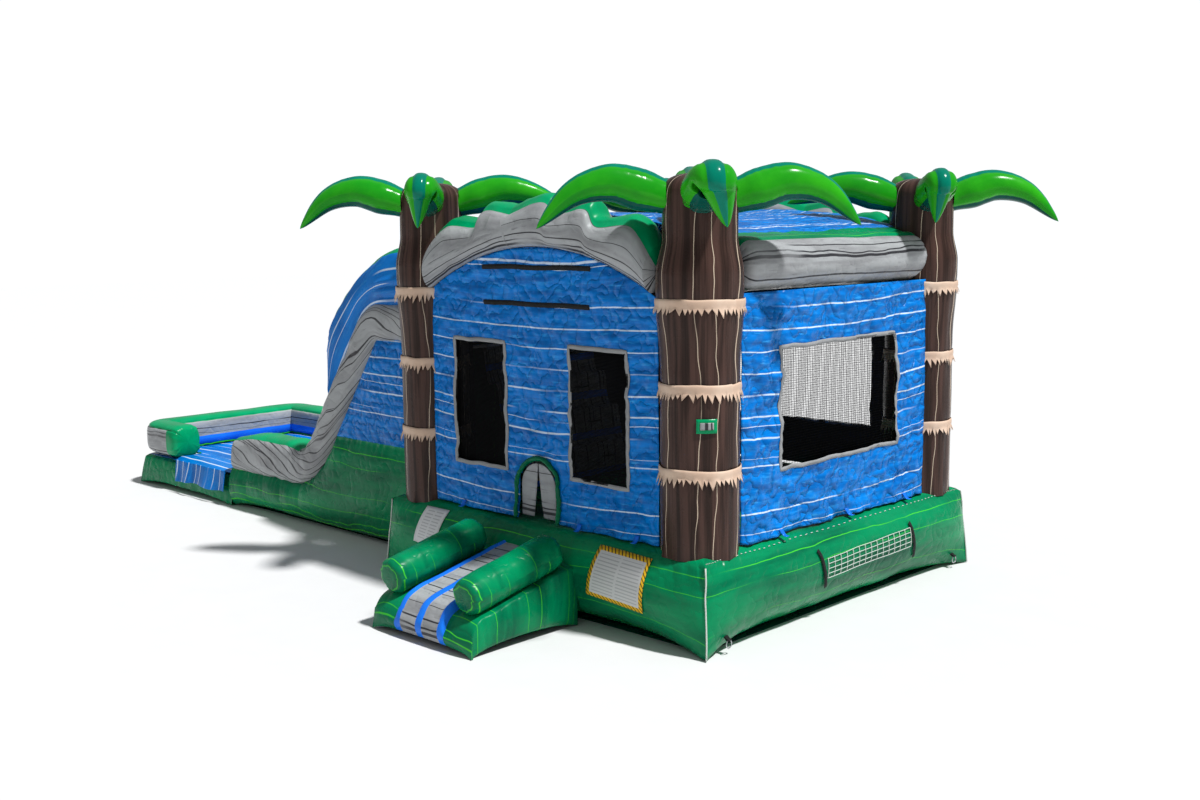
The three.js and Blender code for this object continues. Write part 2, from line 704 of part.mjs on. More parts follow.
// Steps rise from the bounce floor through the left wall's opening to the slide's platform.
function climbingWall() {
  const wallX = -HALF_WIDTH + WALL_INSET;
  const back = SLIDE_START + GAP * 2;
  const foot = wallX + CLIMB_DEPTH;
  const rise = (PLATFORM_HEIGHT - BASE_TOP) / CLIMB_STEPS;
  const points = [
    [back, BASE_TOP],
    [foot, BASE_TOP],
  ];
  for (let i = 0; i < CLIMB_STEPS; i += 1) {
    const x = foot - (CLIMB_DEPTH * (i + 1)) / CLIMB_STEPS + CLIMB_STEP_OUT;
    const face = foot - (CLIMB_DEPTH * i) / CLIMB_STEPS;
    points.push([face, BASE_TOP + rise * (i + 0.9)]);
    points.push([x, BASE_TOP + rise * (i + 1)]);
  }
  points.push([back, PLATFORM_HEIGHT]);
  const c = BED_CLEARANCE;
  add("climbing_wall", extrudeXZ(shapeOf(points), LANE_FRONT + c, LANE_BACK - c), "grey");
}

// ---- Landing pool ----
function poolWallSection(a0, a1) {
  const shape = new THREE.Shape();
  const top = POOL_RIM + POOL_WALL_HEIGHT;
  shape.moveTo(a0, POOL_RIM);
  shape.lineTo(a1, POOL_RIM);
  shape.lineTo(a1, top - POOL_CORNER);
  shape.quadraticCurveTo(a1, top, a1 - POOL_CORNER, top);
  shape.lineTo(a0 + POOL_CORNER, top);
  shape.quadraticCurveTo(a0, top, a0, top - POOL_CORNER);
  shape.closePath();
  return shape;
}

function pool() {
  const outer = box(POOL_END, POOL_START, SLIDE_FRONT, SLIDE_BACK, FLOOR, POOL_BASE_HEIGHT);
  const inner = box(
    POOL_END + SKIN,
    POOL_START - SKIN,
    SLIDE_FRONT + SKIN,
    SLIDE_BACK - SKIN,
    -SKIN,
    POOL_BASE_HEIGHT - SKIN,
  );
  add("pool_base", chamber(outer, inner), "green");

  const inside = POOL_END + POOL_WALL;
  const end = extrudeXZ(poolWallSection(POOL_END, inside), SLIDE_FRONT, SLIDE_BACK);
  add("pool_end_wall", end, "grey");
  const back = poolWallSection(SLIDE_BACK - POOL_WALL, SLIDE_BACK);
  add("pool_back_wall", extrudeYZ(back, inside + GAP * 2, POOL_START), "grey");
  const front = poolWallSection(SLIDE_FRONT, SLIDE_FRONT + POOL_WALL);
  const stub = extrudeYZ(front, inside + GAP * 2, POOL_END + POOL_STUB_LENGTH);
  add("pool_front_wall", stub, "grey");

  const flapY = SLIDE_FRONT - FLAP_CLEARANCE;
  const flap = box(
    POOL_END + POOL_STUB_LENGTH + FLAP_SIDE_CLEARANCE,
    POOL_START - FLAP_SIDE_CLEARANCE,
    flapY - FLAP_THICKNESS,
    flapY,
    POOL_BASE_HEIGHT + FLAP_THICKNESS - FLAP_DROP,
    POOL_BASE_HEIGHT + FLAP_THICKNESS,
  );
  add("pool_entry_flap", flap, "blue");
}

// ---- Small pieces ----
function smallPieces() {
  const pocketX = HALF_WIDTH + GAP * 2;
  const pocket = box(
    pocketX,
    pocketX + POCKET_THICKNESS,
    POCKET_CENTRE_Y - POCKET_WIDTH / 2,
    POCKET_CENTRE_Y + POCKET_WIDTH / 2,
    POCKET_CENTRE_Z - POCKET_HEIGHT / 2,
    POCKET_CENTRE_Z + POCKET_HEIGHT / 2,
  );
  add("vent_net", pocket, "black");

  const inner = SLEEVE_RADIUS - SLEEVE_WALL;
  const sleeve = [
    [inner, 0],
    [SLEEVE_RADIUS, 0],
    [SLEEVE_RADIUS, SLEEVE_LENGTH],
    [inner, SLEEVE_LENGTH],
    [inner, 0],
  ].map(([r, y]) => new THREE.Vector2(r, y));
  const tube = add("blower_sleeve", new THREE.LatheGeometry(sleeve, 20), "green");
  tube.position.set(SLEEVE_X, HALF_DEPTH + GAP * 2, SLEEVE_RADIUS);

  const ringZ = RING_TOP - RING_RADIUS - RING_WIRE;
  for (const [name, x, y] of [
    ["front_right_anchor_ring", HALF_WIDTH + RING_STANDOFF, RING_FROM_CORNER - HALF_DEPTH],
    ["back_right_anchor_ring", HALF_WIDTH + RING_STANDOFF, HALF_DEPTH - RING_FROM_CORNER],
    ["front_left_anchor_ring", POOL_END - RING_STANDOFF, SLIDE_FRONT + RING_FROM_CORNER],
    ["back_left_anchor_ring", POOL_END - RING_STANDOFF, SLIDE_BACK - RING_FROM_CORNER],
  ]) {
    const ring = add(name, new THREE.TorusGeometry(RING_RADIUS, RING_WIRE, 8, 20), "steel");
    ring.rotation.y = Math.PI / 2;
    ring.position.set(x, y, ringZ);
  }
}

groundSheet();
houseBase();
palms();
beamsAndRoof();
frontAndBackWalls();
doorFlaps();
sideWalls();
ramp();
slide();
climbingWall();
pool();
smallPieces();

export default model;
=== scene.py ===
import math

import bmesh
import bpy
import numpy as np
from mathutils import Matrix, Vector


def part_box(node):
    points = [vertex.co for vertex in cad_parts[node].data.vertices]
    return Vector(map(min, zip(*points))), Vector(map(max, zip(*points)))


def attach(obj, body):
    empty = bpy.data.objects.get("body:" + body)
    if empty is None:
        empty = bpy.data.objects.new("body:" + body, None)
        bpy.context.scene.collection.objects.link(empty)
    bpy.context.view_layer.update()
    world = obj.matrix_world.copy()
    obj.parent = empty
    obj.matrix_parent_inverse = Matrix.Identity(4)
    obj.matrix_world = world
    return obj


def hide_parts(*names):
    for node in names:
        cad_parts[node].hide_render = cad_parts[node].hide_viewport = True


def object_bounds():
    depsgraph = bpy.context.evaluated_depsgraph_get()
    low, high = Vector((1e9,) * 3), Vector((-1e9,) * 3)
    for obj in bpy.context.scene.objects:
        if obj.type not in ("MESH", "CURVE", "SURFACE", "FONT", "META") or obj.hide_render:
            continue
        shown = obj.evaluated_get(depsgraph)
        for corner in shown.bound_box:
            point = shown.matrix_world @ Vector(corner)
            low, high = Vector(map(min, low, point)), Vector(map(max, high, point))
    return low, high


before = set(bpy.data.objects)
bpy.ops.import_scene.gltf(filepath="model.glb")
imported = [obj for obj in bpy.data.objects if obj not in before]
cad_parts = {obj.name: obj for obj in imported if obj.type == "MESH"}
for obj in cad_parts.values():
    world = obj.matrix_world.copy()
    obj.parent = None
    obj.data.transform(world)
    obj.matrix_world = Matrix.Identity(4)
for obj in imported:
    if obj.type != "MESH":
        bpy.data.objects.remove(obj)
cad_box = [list(corner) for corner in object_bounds()]

# ---- Sizes that follow from the frame, in metres ----
HALF_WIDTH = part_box("right_base_tube")[1].x
HALF_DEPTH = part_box("back_base_tube")[1].y
BASE_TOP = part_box("bounce_floor")[1].z
BASE_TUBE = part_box("front_base_tube")[1].y + HALF_DEPTH
TRUNK = {
    corner: sum(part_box(f"{corner}_palm_trunk"), Vector()) / 2
    for corner in ("front_left", "front_right", "back_right", "back_left")
}
TRUNK_X = TRUNK["front_right"].x
TRUNK_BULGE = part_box("front_right_palm_trunk")[1].x - TRUNK_X
TRUNK_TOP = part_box("front_right_palm_trunk")[1].z
WALL_PLANE = -sum(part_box("front_wall_sheet"), Vector()).y / 2
WALL_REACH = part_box("front_wall_sheet")[1].x + 0.035
BEAM_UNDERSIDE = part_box("right_side_beam")[0].z
SLIDE_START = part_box("slide_body")[1].x
SLIDE_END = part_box("slide_body")[0].x
SLIDE_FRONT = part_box("slide_body")[0].y
SLIDE_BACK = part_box("slide_body")[1].y
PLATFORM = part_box("slide_body")[1].z
LANE_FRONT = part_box("slide_front_side_wall")[1].y
LANE_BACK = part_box("slide_back_side_wall")[0].y
SIDE_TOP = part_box("slide_front_side_wall")[1].z
POOL_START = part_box("pool_base")[1].x
POOL_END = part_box("pool_base")[0].x
POOL_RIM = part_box("pool_base")[1].z
POOL_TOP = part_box("pool_end_wall")[1].z
POOL_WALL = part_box("pool_end_wall")[1].x - POOL_END
STUB_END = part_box("pool_front_wall")[1].x
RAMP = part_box("entrance_ramp")
SIDES = ("front", "right", "back", "left")

# ---- Colours, linear RGB ----
GREEN = (0.0, 0.255, 0.095)
GREEN_DEEP = (0.0, 0.095, 0.045)
LIME_LINE = (0.06, 0.60, 0.03)
BLUE = (0.0, 0.21, 0.70)
BLUE_DEEP = (0.0, 0.115, 0.43)
PALE_LINE = (0.62, 0.74, 0.90)
GREY = (0.38, 0.395, 0.405)
GREY_DEEP = (0.17, 0.17, 0.18)
DARK_LINE = (0.035, 0.035, 0.04)
BROWN = (0.078, 0.042, 0.034)
BROWN_DEEP = (0.026, 0.015, 0.012)
CREAM_LINE = (0.62, 0.50, 0.38)
LIME = (0.030, 0.40, 0.010)
TEAL = (0.0, 0.24, 0.15)
TEAL_DEEP = (0.0, 0.10, 0.075)
CREAM = (0.72, 0.55, 0.43)
SILVER = (0.36, 0.37, 0.38)
BLACK = (0.006, 0.006, 0.007)
YELLOW = (0.85, 0.50, 0.02)
BRIGHT_BLUE = (0.015, 0.22, 0.95)
STEEL = (0.6, 0.61, 0.63)


# ---- Smooth noise, the same on every run ----
def lattice(ix, iy, seed):
    h = (ix * 374761393 + iy * 668265263 + seed * 974711) & 0xFFFFFFFF
    h = ((h ^ (h >> 13)) * 1274126177) & 0xFFFFFFFF
    return ((h ^ (h >> 16)) & 0xFFFF) / 32767.5 - 1.0


def noise(x, y=0.0, seed=0):
    """Value noise from -1 to 1, on numbers or arrays."""
    x, y = np.broadcast_arrays(np.asarray(x, float), np.asarray(y, float))
    ix, iy = np.floor(x).astype(np.int64), np.floor(y).astype(np.int64)
    fx, fy = x - ix, y - iy
    fx, fy = fx * fx * (3 - 2 * fx), fy * fy * (3 - 2 * fy)
    low = lattice(ix, iy, seed) * (1 - fx) + lattice(ix + 1, iy, seed) * fx
    high = lattice(ix, iy + 1, seed) * (1 - fx) + lattice(ix + 1, iy + 1, seed) * fx
    return low * (1 - fy) + high * fy


def crumple(x, y, seed=0):
    """The sharp folds of thin vinyl, about -1 to 1."""
    total = 0.0
    for size, height in ((0.52, 0.42), (0.27, 0.28), (0.13, 0.19), (0.065, 0.11)):
        bend = 0.5 * noise(x / size, y / size, seed + 7)
        turned_x = (0.8 * x + 0.6 * y) / size + bend
        turned_y = (0.8 * y - 0.6 * x) / size * 1.5 + bend
        total = total + height * (1 - 2.4 * np.abs(noise(turned_x, turned_y, seed)))
        seed += 1
    return total


def pucker(along, away, depth, reach=0.05, pitch=0.03, seed=0):
    """Small gathers beside a seam: along it, and away from it, in metres."""
    fine = noise(along / pitch, 0.0, seed) + 0.6 * noise(along / (3 * pitch), 0.0, seed + 1)
    return depth * fine * np.exp(-np.abs(away) / reach)


def smooth(x):
    x = np.clip(x, 0, 1)
    return x * x * (3 - 2 * x)


def squared(value, power):
    """A sine or cosine bent towards a square; a power of 1 leaves it round."""
    return np.sign(value) * np.abs(value) ** power


def blunt(end, reach):
    """From 0 at a blunt end to 1 where the distance from the end passes the reach."""
    return np.sqrt(np.maximum(0.0, 1 - np.maximum(0.0, 1 - end / reach) ** 2))


def middles(values):
    return (values[1:] + values[:-1]) / 2


def arc_length(path):
    """Distance from the start of a path to each of its points."""
    return np.concatenate([[0], np.cumsum(np.linalg.norm(np.diff(path, axis=0), axis=1))])


def directions(path, closed=False):
    """The unit direction of a path at each of its points."""
    step = np.gradient(path, axis=0)
    if closed:
        step[0] = step[-1] = path[1] - path[-2]
    return step / np.linalg.norm(step, axis=1)[:, None]


def normals_of(line, closed=False):
    """The unit direction to the left of a flat line at each of its points."""
    step = directions(line, closed)
    return np.stack([-step[:, 1], step[:, 0]], axis=1)


def resample(points, count):
    """The same line as evenly spaced points."""
    points = np.array(points, float)
    length = arc_length(points)
    even = np.linspace(0, length[-1], count)
    return np.stack([np.interp(even, length, points[:, i]) for i in range(points.shape[1])], axis=1)


def grid(x, y, z):
    return np.stack(np.broadcast_arrays(x, y, z), axis=2)


def ring_of(centre, radius, angle, z):
    """Points on a ring round an upright axis."""
    x, y = centre.x + radius * np.cos(angle), centre.y + radius * np.sin(angle)
    return np.stack(np.broadcast_arrays(x, y, z), axis=1)


def crossed(rows):
    """Rows of points turned into columns."""
    return np.array(rows).transpose(1, 0, 2)


def banded(kinds, rows):
    """The same row of material numbers for every row of faces."""
    return np.repeat(kinds[None], rows, axis=0)


def spline(points, count):
    """Points along a Catmull-Rom curve through the given ones."""
    p = np.array(points, float)
    p = np.vstack([2 * p[0] - p[1], p, 2 * p[-1] - p[-2]])
    spans = len(p) - 3
    t = np.linspace(0, spans, count)
    i = np.minimum(t.astype(int), spans - 1)
    f = (t - i)[:, None]
    a, b, c, d = p[i], p[i + 1], p[i + 2], p[i + 3]
    return 0.5 * (2 * b + (c - a) * f + (2 * a - 5 * b + 4 * c - d) * f**2 + (3 * b - a - 3 * c + d) * f**3)


# ---- Materials ----
def node(tree, kind, inputs=None, **settings):
    made = tree.nodes.new(kind)
    for key, value in settings.items():
        setattr(made, key, value)
    for key, value in (inputs or {}).items():
        if isinstance(value, bpy.types.NodeSocket):
            tree.links.new(value, made.inputs[key])
        else:
            made.inputs[key].default_value = value
    return made


def calc(tree, operation, a, b=0.0, c=0.0):
    return node(tree, "ShaderNodeMath", {0: a, 1: b, 2: c}, operation=operation).outputs[0]


def colour_mix(tree, amount, a, b):
    made = node(tree, "ShaderNodeMix", data_type="RGBA")
    for socket, value in ((made.inputs[0], amount), (made.inputs[6], a), (made.inputs[7], b)):
        if isinstance(value, bpy.types.NodeSocket):
            tree.links.new(value, socket)
        elif isinstance(value, tuple):
            socket.default_value = (*value, 1.0)
        else:
            socket.default_value = value
    return made.outputs[2]


def noise_node(tree, vector, scale, detail=2.0, roughness=0.5):
    inputs = {"Vector": vector, "Scale": scale, "Detail": detail, "Roughness": roughness}
    return node(tree, "ShaderNodeTexNoise", inputs).outputs["Fac"]


def ranged(tree, value, low, high, to_low=0.0, to_high=1.0):
    inputs = {"Value": value, "From Min": low, "From Max": high, "To Min": to_low, "To Max": to_high}
    made = node(tree, "ShaderNodeMapRange", inputs, interpolation_type="SMOOTHSTEP")
    return made.outputs["Result"]


def new_material(name):
    material = bpy.data.materials.new(name)
    material.use_nodes = True
    return material, material.node_tree, material.node_tree.nodes["Principled BSDF"]


def cloth_uv(tree):
    uv = node(tree, "ShaderNodeUVMap", uv_map="Cloth").outputs["UV"]
    split = node(tree, "ShaderNodeSeparateXYZ", {"Vector": uv})
    return uv, split.outputs["X"], split.outputs["Y"]


def line_mask(tree, u, v, spacing, width, wobble, density):
    """Thin wavy lines along u that come and go, with a random gap between them."""
    where = node(tree, "ShaderNodeCombineXYZ", {"X": calc(tree, "MULTIPLY", u, 0.9), "Y": v})
    wave = calc(tree, "SUBTRACT", noise_node(tree, where.outputs[0], 1.0, 3.0), 0.5)
    uneven = node(tree, "ShaderNodeCombineXYZ", {"X": calc(tree, "MULTIPLY", v, 0.6 / spacing), "Y": 3.7})
    drift = calc(tree, "SUBTRACT", noise_node(tree, uneven.outputs[0], 1.0, 1.0), 0.5)
    moved = calc(tree, "MULTIPLY_ADD", wave, wobble * 2, v)
    moved = calc(tree, "MULTIPLY_ADD", drift, spacing, moved)
    cell = calc(tree, "DIVIDE", moved, spacing)
    number = calc(tree, "FLOOR", cell)
    away = calc(tree, "ABSOLUTE", calc(tree, "SUBTRACT", calc(tree, "SUBTRACT", cell, number), 0.5))
    distance = calc(tree, "MULTIPLY", away, spacing)
    chance = node(tree, "ShaderNodeTexWhiteNoise", {"W": number}, noise_dimensions="1D").outputs["Value"]
    shift = calc(tree, "MULTIPLY_ADD", number, 7.31, calc(tree, "MULTIPLY", u, 0.8))
    run = node(tree, "ShaderNodeCombineXYZ", {"X": shift, "Y": number})
    fade = ranged(tree, noise_node(tree, run.outputs[0], 1.0, 2.0), 0.36, 0.5)
    shown = calc(tree, "LESS_THAN", chance, density)
    half = calc(tree, "MULTIPLY_ADD", chance, width * 0.6, width * 0.45)
    reach = calc(tree, "SUBTRACT", 1.0, calc(tree, "DIVIDE", distance, half))
    thin = calc(tree, "MINIMUM", calc(tree, "MAXIMUM", calc(tree, "MULTIPLY", reach, 2.5), 0.0), 1.0)
    return calc(tree, "MULTIPLY", calc(tree, "MULTIPLY", thin, fade), shown)


def streak_mask(tree, u, v, across, along, low, high, detail=4.0):
    """Long soft streaks along u."""
    flat = {"X": calc(tree, "MULTIPLY", u, along), "Y": calc(tree, "MULTIPLY", v, across)}
    where = node(tree, "ShaderNodeCombineXYZ", flat)
    return ranged(tree, noise_node(tree, where.outputs[0], 1.0, detail, 0.6), low, high)


def vinyl_surface(tree, bsdf, uv, roughness=0.27, dimple=0.004, crease=0.0):
    """Glossy coated fabric: a fine scrim weave, shallow dimples and, if asked for, sharp creases."""
    worn = noise_node(tree, uv, 3.5, 4.0)
    rough = ranged(tree, worn, 0.3, 0.75, roughness - 0.06, roughness + 0.12)
    tree.links.new(rough, bsdf.inputs["Roughness"])
    weave = noise_node(tree, uv, 420.0, 1.0)
    wide = noise_node(tree, uv, 9.0, 3.0)
    fine = node(tree, "ShaderNodeBump", {"Height": weave, "Strength": 0.25, "Distance": 0.0006})
    soft = {"Height": wide, "Strength": 0.6, "Distance": dimple, "Normal": fine.outputs[0]}
    bent = node(tree, "ShaderNodeBump", soft).outputs[0]
    if crease:
        fold = calc(tree, "ABSOLUTE", calc(tree, "SUBTRACT", noise_node(tree, uv, 6.0, 1.5, 0.5), 0.5))
        sharp = calc(tree, "POWER", fold, 0.6)
        folded = {"Height": sharp, "Strength": 0.9, "Distance": crease, "Normal": bent}
        bent = node(tree, "ShaderNodeBump", folded).outputs[0]
    tree.links.new(bent, bsdf.inputs["Normal"])
    bsdf.inputs["Specular IOR Level"].default_value = 0.13


def streaked_vinyl(name, base, deep, line, streak, lines, flecks=None, crease=0.0):
    """Printed vinyl: a base colour with deeper streaks, and thin wavy lines."""
    material, tree, bsdf = new_material(name)
    uv, u, v = cloth_uv(tree)
    colour = colour_mix(tree, streak_mask(tree, u, v, *streak), deep, base)
    if flecks:
        tint, low, high = flecks
        mottle = streak_mask(tree, u, v, 34.0, 6.0, low, high, 6.0)
        colour = colour_mix(tree, mottle, colour, tint)
    for settings in lines:
        colour = colour_mix(tree, line_mask(tree, u, v, *settings), colour, line)
    tree.links.new(colour, bsdf.inputs["Base Color"])
    vinyl_surface(tree, bsdf, uv, crease=crease)
    return material


def plain_vinyl(name, base, deep, roughness):
    material, tree, bsdf = new_material(name)
    uv, u, v = cloth_uv(tree)
    colour = colour_mix(tree, streak_mask(tree, u, v, 2.2, 1.4, 0.3, 0.7), deep, base)
    tree.links.new(colour, bsdf.inputs["Base Color"])
    vinyl_surface(tree, bsdf, uv, roughness, 0.003)
    return material


def webbing(name, base, deep, specular=0.3):
    """Woven strap: fine ribs across it."""
    material, tree, bsdf = new_material(name)
    _, u, v = cloth_uv(tree)
    rib = calc(tree, "SINE", calc(tree, "MULTIPLY", u, 1900.0))
    cross = calc(tree, "SINE", calc(tree, "MULTIPLY", v, 1400.0))
    weave = calc(tree, "MULTIPLY", rib, cross)
    colour = colour_mix(tree, ranged(tree, weave, -1.0, 1.0), deep, base)
    tree.links.new(colour, bsdf.inputs["Base Color"])
    bump = node(tree, "ShaderNodeBump", {"Height": weave, "Strength": 0.5, "Distance": 0.0008})
    tree.links.new(bump.outputs[0], bsdf.inputs["Normal"])
    bsdf.inputs["Roughness"].default_value = 0.75
    bsdf.inputs["Specular IOR Level"].default_value = specular
    return material


def steel_material():
    material, tree, bsdf = new_material("ring_steel")
    where = node(tree, "ShaderNodeTexCoord").outputs["Object"]
    marks = noise_node(tree, where, 260.0, 5.0)
    colour = colour_mix(tree, ranged(tree, marks, 0.35, 0.65), (0.38, 0.39, 0.41), STEEL)
    tree.links.new(colour, bsdf.inputs["Base Color"])
    tree.links.new(ranged(tree, marks, 0.3, 0.7, 0.22, 0.45), bsdf.inputs["Roughness"])
    bsdf.inputs["Metallic"].default_value = 1.0
    return material


def placard_material(name, border, stripe, page, width, height, edge):
    """A blank notice: a striped border round a page of plain grey bars."""
    material, tree, bsdf = new_material(name)
    uv, u, v = cloth_uv(tree)
    slant = calc(tree, "FRACT", calc(tree, "MULTIPLY", calc(tree, "ADD", u, v), 26.0))
    frame_colour = colour_mix(tree, calc(tree, "LESS_THAN", slant, 0.3), border, stripe)
    bar = calc(tree, "LESS_THAN", calc(tree, "FRACT", calc(tree, "MULTIPLY", v, 36.0)), 0.34)
    gutter = calc(tree, "COMPARE", u, width / 2, 0.012)
    bar = calc(tree, "MULTIPLY", bar, calc(tree, "SUBTRACT", 1.0, gutter))
    away_u = calc(tree, "SUBTRACT", width / 2, calc(tree, "ABSOLUTE", calc(tree, "SUBTRACT", u, width / 2)))
    away_v = calc(tree, "SUBTRACT", height / 2, calc(tree, "ABSOLUTE", calc(tree, "SUBTRACT", v, height / 2)))
    away = calc(tree, "MINIMUM", away_u, away_v)
    printed = calc(tree, "MULTIPLY", bar, calc(tree, "GREATER_THAN", away, edge + 0.02))
    body = colour_mix(tree, calc(tree, "MULTIPLY", printed, 0.45), page, (0.20, 0.20, 0.22))
    inside = calc(tree, "GREATER_THAN", away, edge)
    tree.links.new(colour_mix(tree, inside, frame_colour, body), bsdf.inputs["Base Color"])
    vinyl_surface(tree, bsdf, uv, 0.4, 0.001)
    return material


MATERIALS = {
    "green": streaked_vinyl(
        "green_vinyl", GREEN, GREEN_DEEP, LIME_LINE, (2.6, 0.5, 0.3, 0.62),
        [(0.17, 0.007, 0.09, 0.7), (0.29, 0.005, 0.16, 0.6)], crease=0.012,
    ),
    "blue": streaked_vinyl(
        "blue_vinyl", BLUE, BLUE_DEEP, PALE_LINE, (15.0, 1.6, 0.34, 0.66),
        [(0.185, 0.0105, 0.045, 0.9), (0.31, 0.006, 0.09, 0.55)],
        flecks=((0.03, 0.33, 0.80), 0.52, 0.74), crease=0.06,
    ),
    "blue_stripe": streaked_vinyl(
        "blue_striped_vinyl", BLUE, BLUE_DEEP, PALE_LINE, (3.0, 0.8, 0.3, 0.66),
        [(0.15, 0.011, 0.02, 0.97)],
        flecks=((0.02, 0.26, 0.66), 0.52, 0.74),
    ),
    "grey": streaked_vinyl(
        "grey_vinyl", GREY, (0.27, 0.275, 0.285), DARK_LINE, (7.0, 1.3, 0.34, 0.6),
        [(0.085, 0.014, 0.05, 0.62), (0.15, 0.007, 0.08, 0.6)],
        flecks=(GREY_DEEP, 0.57, 0.78), crease=0.012,
    ),
    "brown": streaked_vinyl(
        "brown_vinyl", BROWN, BROWN_DEEP, CREAM_LINE, (16.0, 0.6, 0.36, 0.62),
        [(0.14, 0.006, 0.10, 0.66), (0.27, 0.004, 0.16, 0.4)],
    ),
    "lime": plain_vinyl("frond_lime_vinyl", LIME, (0.008, 0.27, 0.010), 0.2),
    "teal": plain_vinyl("frond_teal_vinyl", TEAL, (0.0, 0.17, 0.11), 0.2),
    "teal_deep": plain_vinyl("frond_underside_vinyl", TEAL_DEEP, (0.0, 0.06, 0.045), 0.24),
    "green_plain": plain_vinyl("green_top_vinyl", (0.0, 0.36, 0.14), (0.0, 0.25, 0.09), 0.22),
    "thatch": plain_vinyl("thatch_vinyl", CREAM, (0.60, 0.42, 0.31), 0.5),
    # Painted shade: the walls' inner face is near-black, standing in for the deep shade inside the house.
    "painted_shade_inside": plain_vinyl("painted_shade_inside_vinyl", (0.012, 0.02, 0.045), (0.006, 0.01, 0.02), 0.45),
    "binding": webbing("silver_binding", SILVER, (0.26, 0.265, 0.27)),
    "strap": webbing("black_webbing", (0.012, 0.012, 0.013), (0.004, 0.004, 0.004)),
    "net": webbing("black_netting", BLACK, (0.002, 0.002, 0.002), 0.04),
    "white_cord": webbing("white_thread", (0.75, 0.78, 0.74), (0.5, 0.55, 0.5)),
    "bright_blue": plain_vinyl("bright_blue_vinyl", BRIGHT_BLUE, (0.01, 0.15, 0.75), 0.2),
    "placard": placard_material(
        "blank_placard", YELLOW, (0.03, 0.02, 0.02), (0.62, 0.62, 0.62), 0.57, 0.42, 0.034,
    ),
    "tag": placard_material("blank_tag", (0.66, 0.67, 0.68), (0.62, 0.63, 0.64), (0.66, 0.67, 0.68),
                            0.32, 0.37, 0.03),
    "steel": steel_material(),
}


# ---- Mesh building ----
def cloth_lengths(points):
    """UV in metres: u down the rows of points, v across them."""
    down = np.linalg.norm(np.diff(points, axis=0), axis=2).mean(axis=1)
    across = np.linalg.norm(np.diff(points, axis=1), axis=2).mean(axis=0)
    u = np.concatenate([[0], np.cumsum(down)])
    v = np.concatenate([[0], np.cumsum(across)])
    return np.stack(np.broadcast_arrays(u[:, None], v[None, :]), axis=2)


def surface(name, points, material, uv=None, faces=None, turn_uv=False, keep=None,
            body="house", replaces=(), thick=0.0, painted_shade_inside=None, outward=True):
    """One piece from a grid of points. faces gives each quad's material, keep leaves quads out."""
    points = np.asarray(points, float)
    rows, cols = points.shape[:2]
    uv = cloth_lengths(points) if uv is None else uv
    if turn_uv:
        uv = uv[:, :, ::-1]
    index = np.arange(rows * cols).reshape(rows, cols)
    quads = np.stack([index[:-1, :-1], index[:-1, 1:], index[1:, 1:], index[1:, :-1]], axis=2)
    kinds = np.zeros(quads.shape[:2], int) if faces is None else np.asarray(faces)
    kept = np.ones(quads.shape[:2], bool) if keep is None else keep
    quads, kinds = quads[kept], kinds[kept]
    mesh = bpy.data.meshes.new(name)
    mesh.from_pydata(points.reshape(-1, 3).tolist(), [], quads.tolist())
    layer = mesh.uv_layers.new(name="Cloth")
    layer.data.foreach_set("uv", uv.reshape(-1, 2)[quads.ravel()].ravel())
    mesh.polygons.foreach_set("material_index", kinds.ravel())
    names = [material] if isinstance(material, str) else list(material)
    for key in names + ([painted_shade_inside] if painted_shade_inside else []):
        mesh.materials.append(MATERIALS[key])
    built = bmesh.new()
    built.from_mesh(mesh)
    bmesh.ops.remove_doubles(built, verts=built.verts, dist=2e-5)
    loose = [v for v in built.verts if not v.link_faces]
    bmesh.ops.delete(built, geom=loose, context="VERTS")
    if outward:
        bmesh.ops.recalc_face_normals(built, faces=built.faces)
    for face in built.faces:
        face.smooth = True
    built.to_mesh(mesh)
    built.free()
    piece = bpy.data.objects.new(name, mesh)
    bpy.context.scene.collection.objects.link(piece)
    if thick:
        solidify = piece.modifiers.new("thickness", "SOLIDIFY")
        solidify.thickness = thick
        solidify.offset = 0.0
        # The inner face takes the painted-shade material given for it.
        if painted_shade_inside:
            solidify.material_offset = len(names)
            solidify.material_offset_rim = 0
    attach(piece, body)
    if replaces:
        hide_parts(*replaces)
    return piece


def joined(name, pieces):
    """Several meshes as one piece."""
    built = bmesh.new()
    target = pieces[0].data
    for piece in pieces:
        built.from_mesh(piece.data)
    built.to_mesh(target)
    built.free()
    for piece in pieces[1:]:
        bpy.data.objects.remove(piece)
    pieces[0].name = name
    return pieces[0]


def tube(name, path, radius, material, sides=8):
    """A round cord or tube along a path of points, with closed ends."""
    path = np.asarray(path, float)
    along = directions(path)
    level = np.where(np.abs(along[:, 2:3]) > 0.9, [[1.0, 0.0, 0.0]], [[0.0, 0.0, 1.0]])
    side = np.cross(along, level)
    side /= np.linalg.norm(side, axis=1)[:, None]
    up = np.cross(side, along)
    angle = np.linspace(0, 2 * np.pi, sides + 1)
    ring = side[:, None] * np.cos(angle)[None, :, None] + up[:, None] * np.sin(angle)[None, :, None]
    first, last = (np.repeat(end[:, None], sides + 1, axis=1) for end in (path[:1], path[-1:]))
    points = np.concatenate([first, path[:, None] + ring * radius, last])
    return surface(name, points, material)


def on_side(side, along, out, z):
    """A point at a distance out from the house's middle, on one of its four sides."""
    along, out, z = np.broadcast_arrays(along, out, z)
    x, y = {
        "front": (along, -out),
        "right": (out, along),
        "back": (-along, out),
        "left": (-out, -along),
    }[side]
    return np.stack([x, y, z], axis=-1)


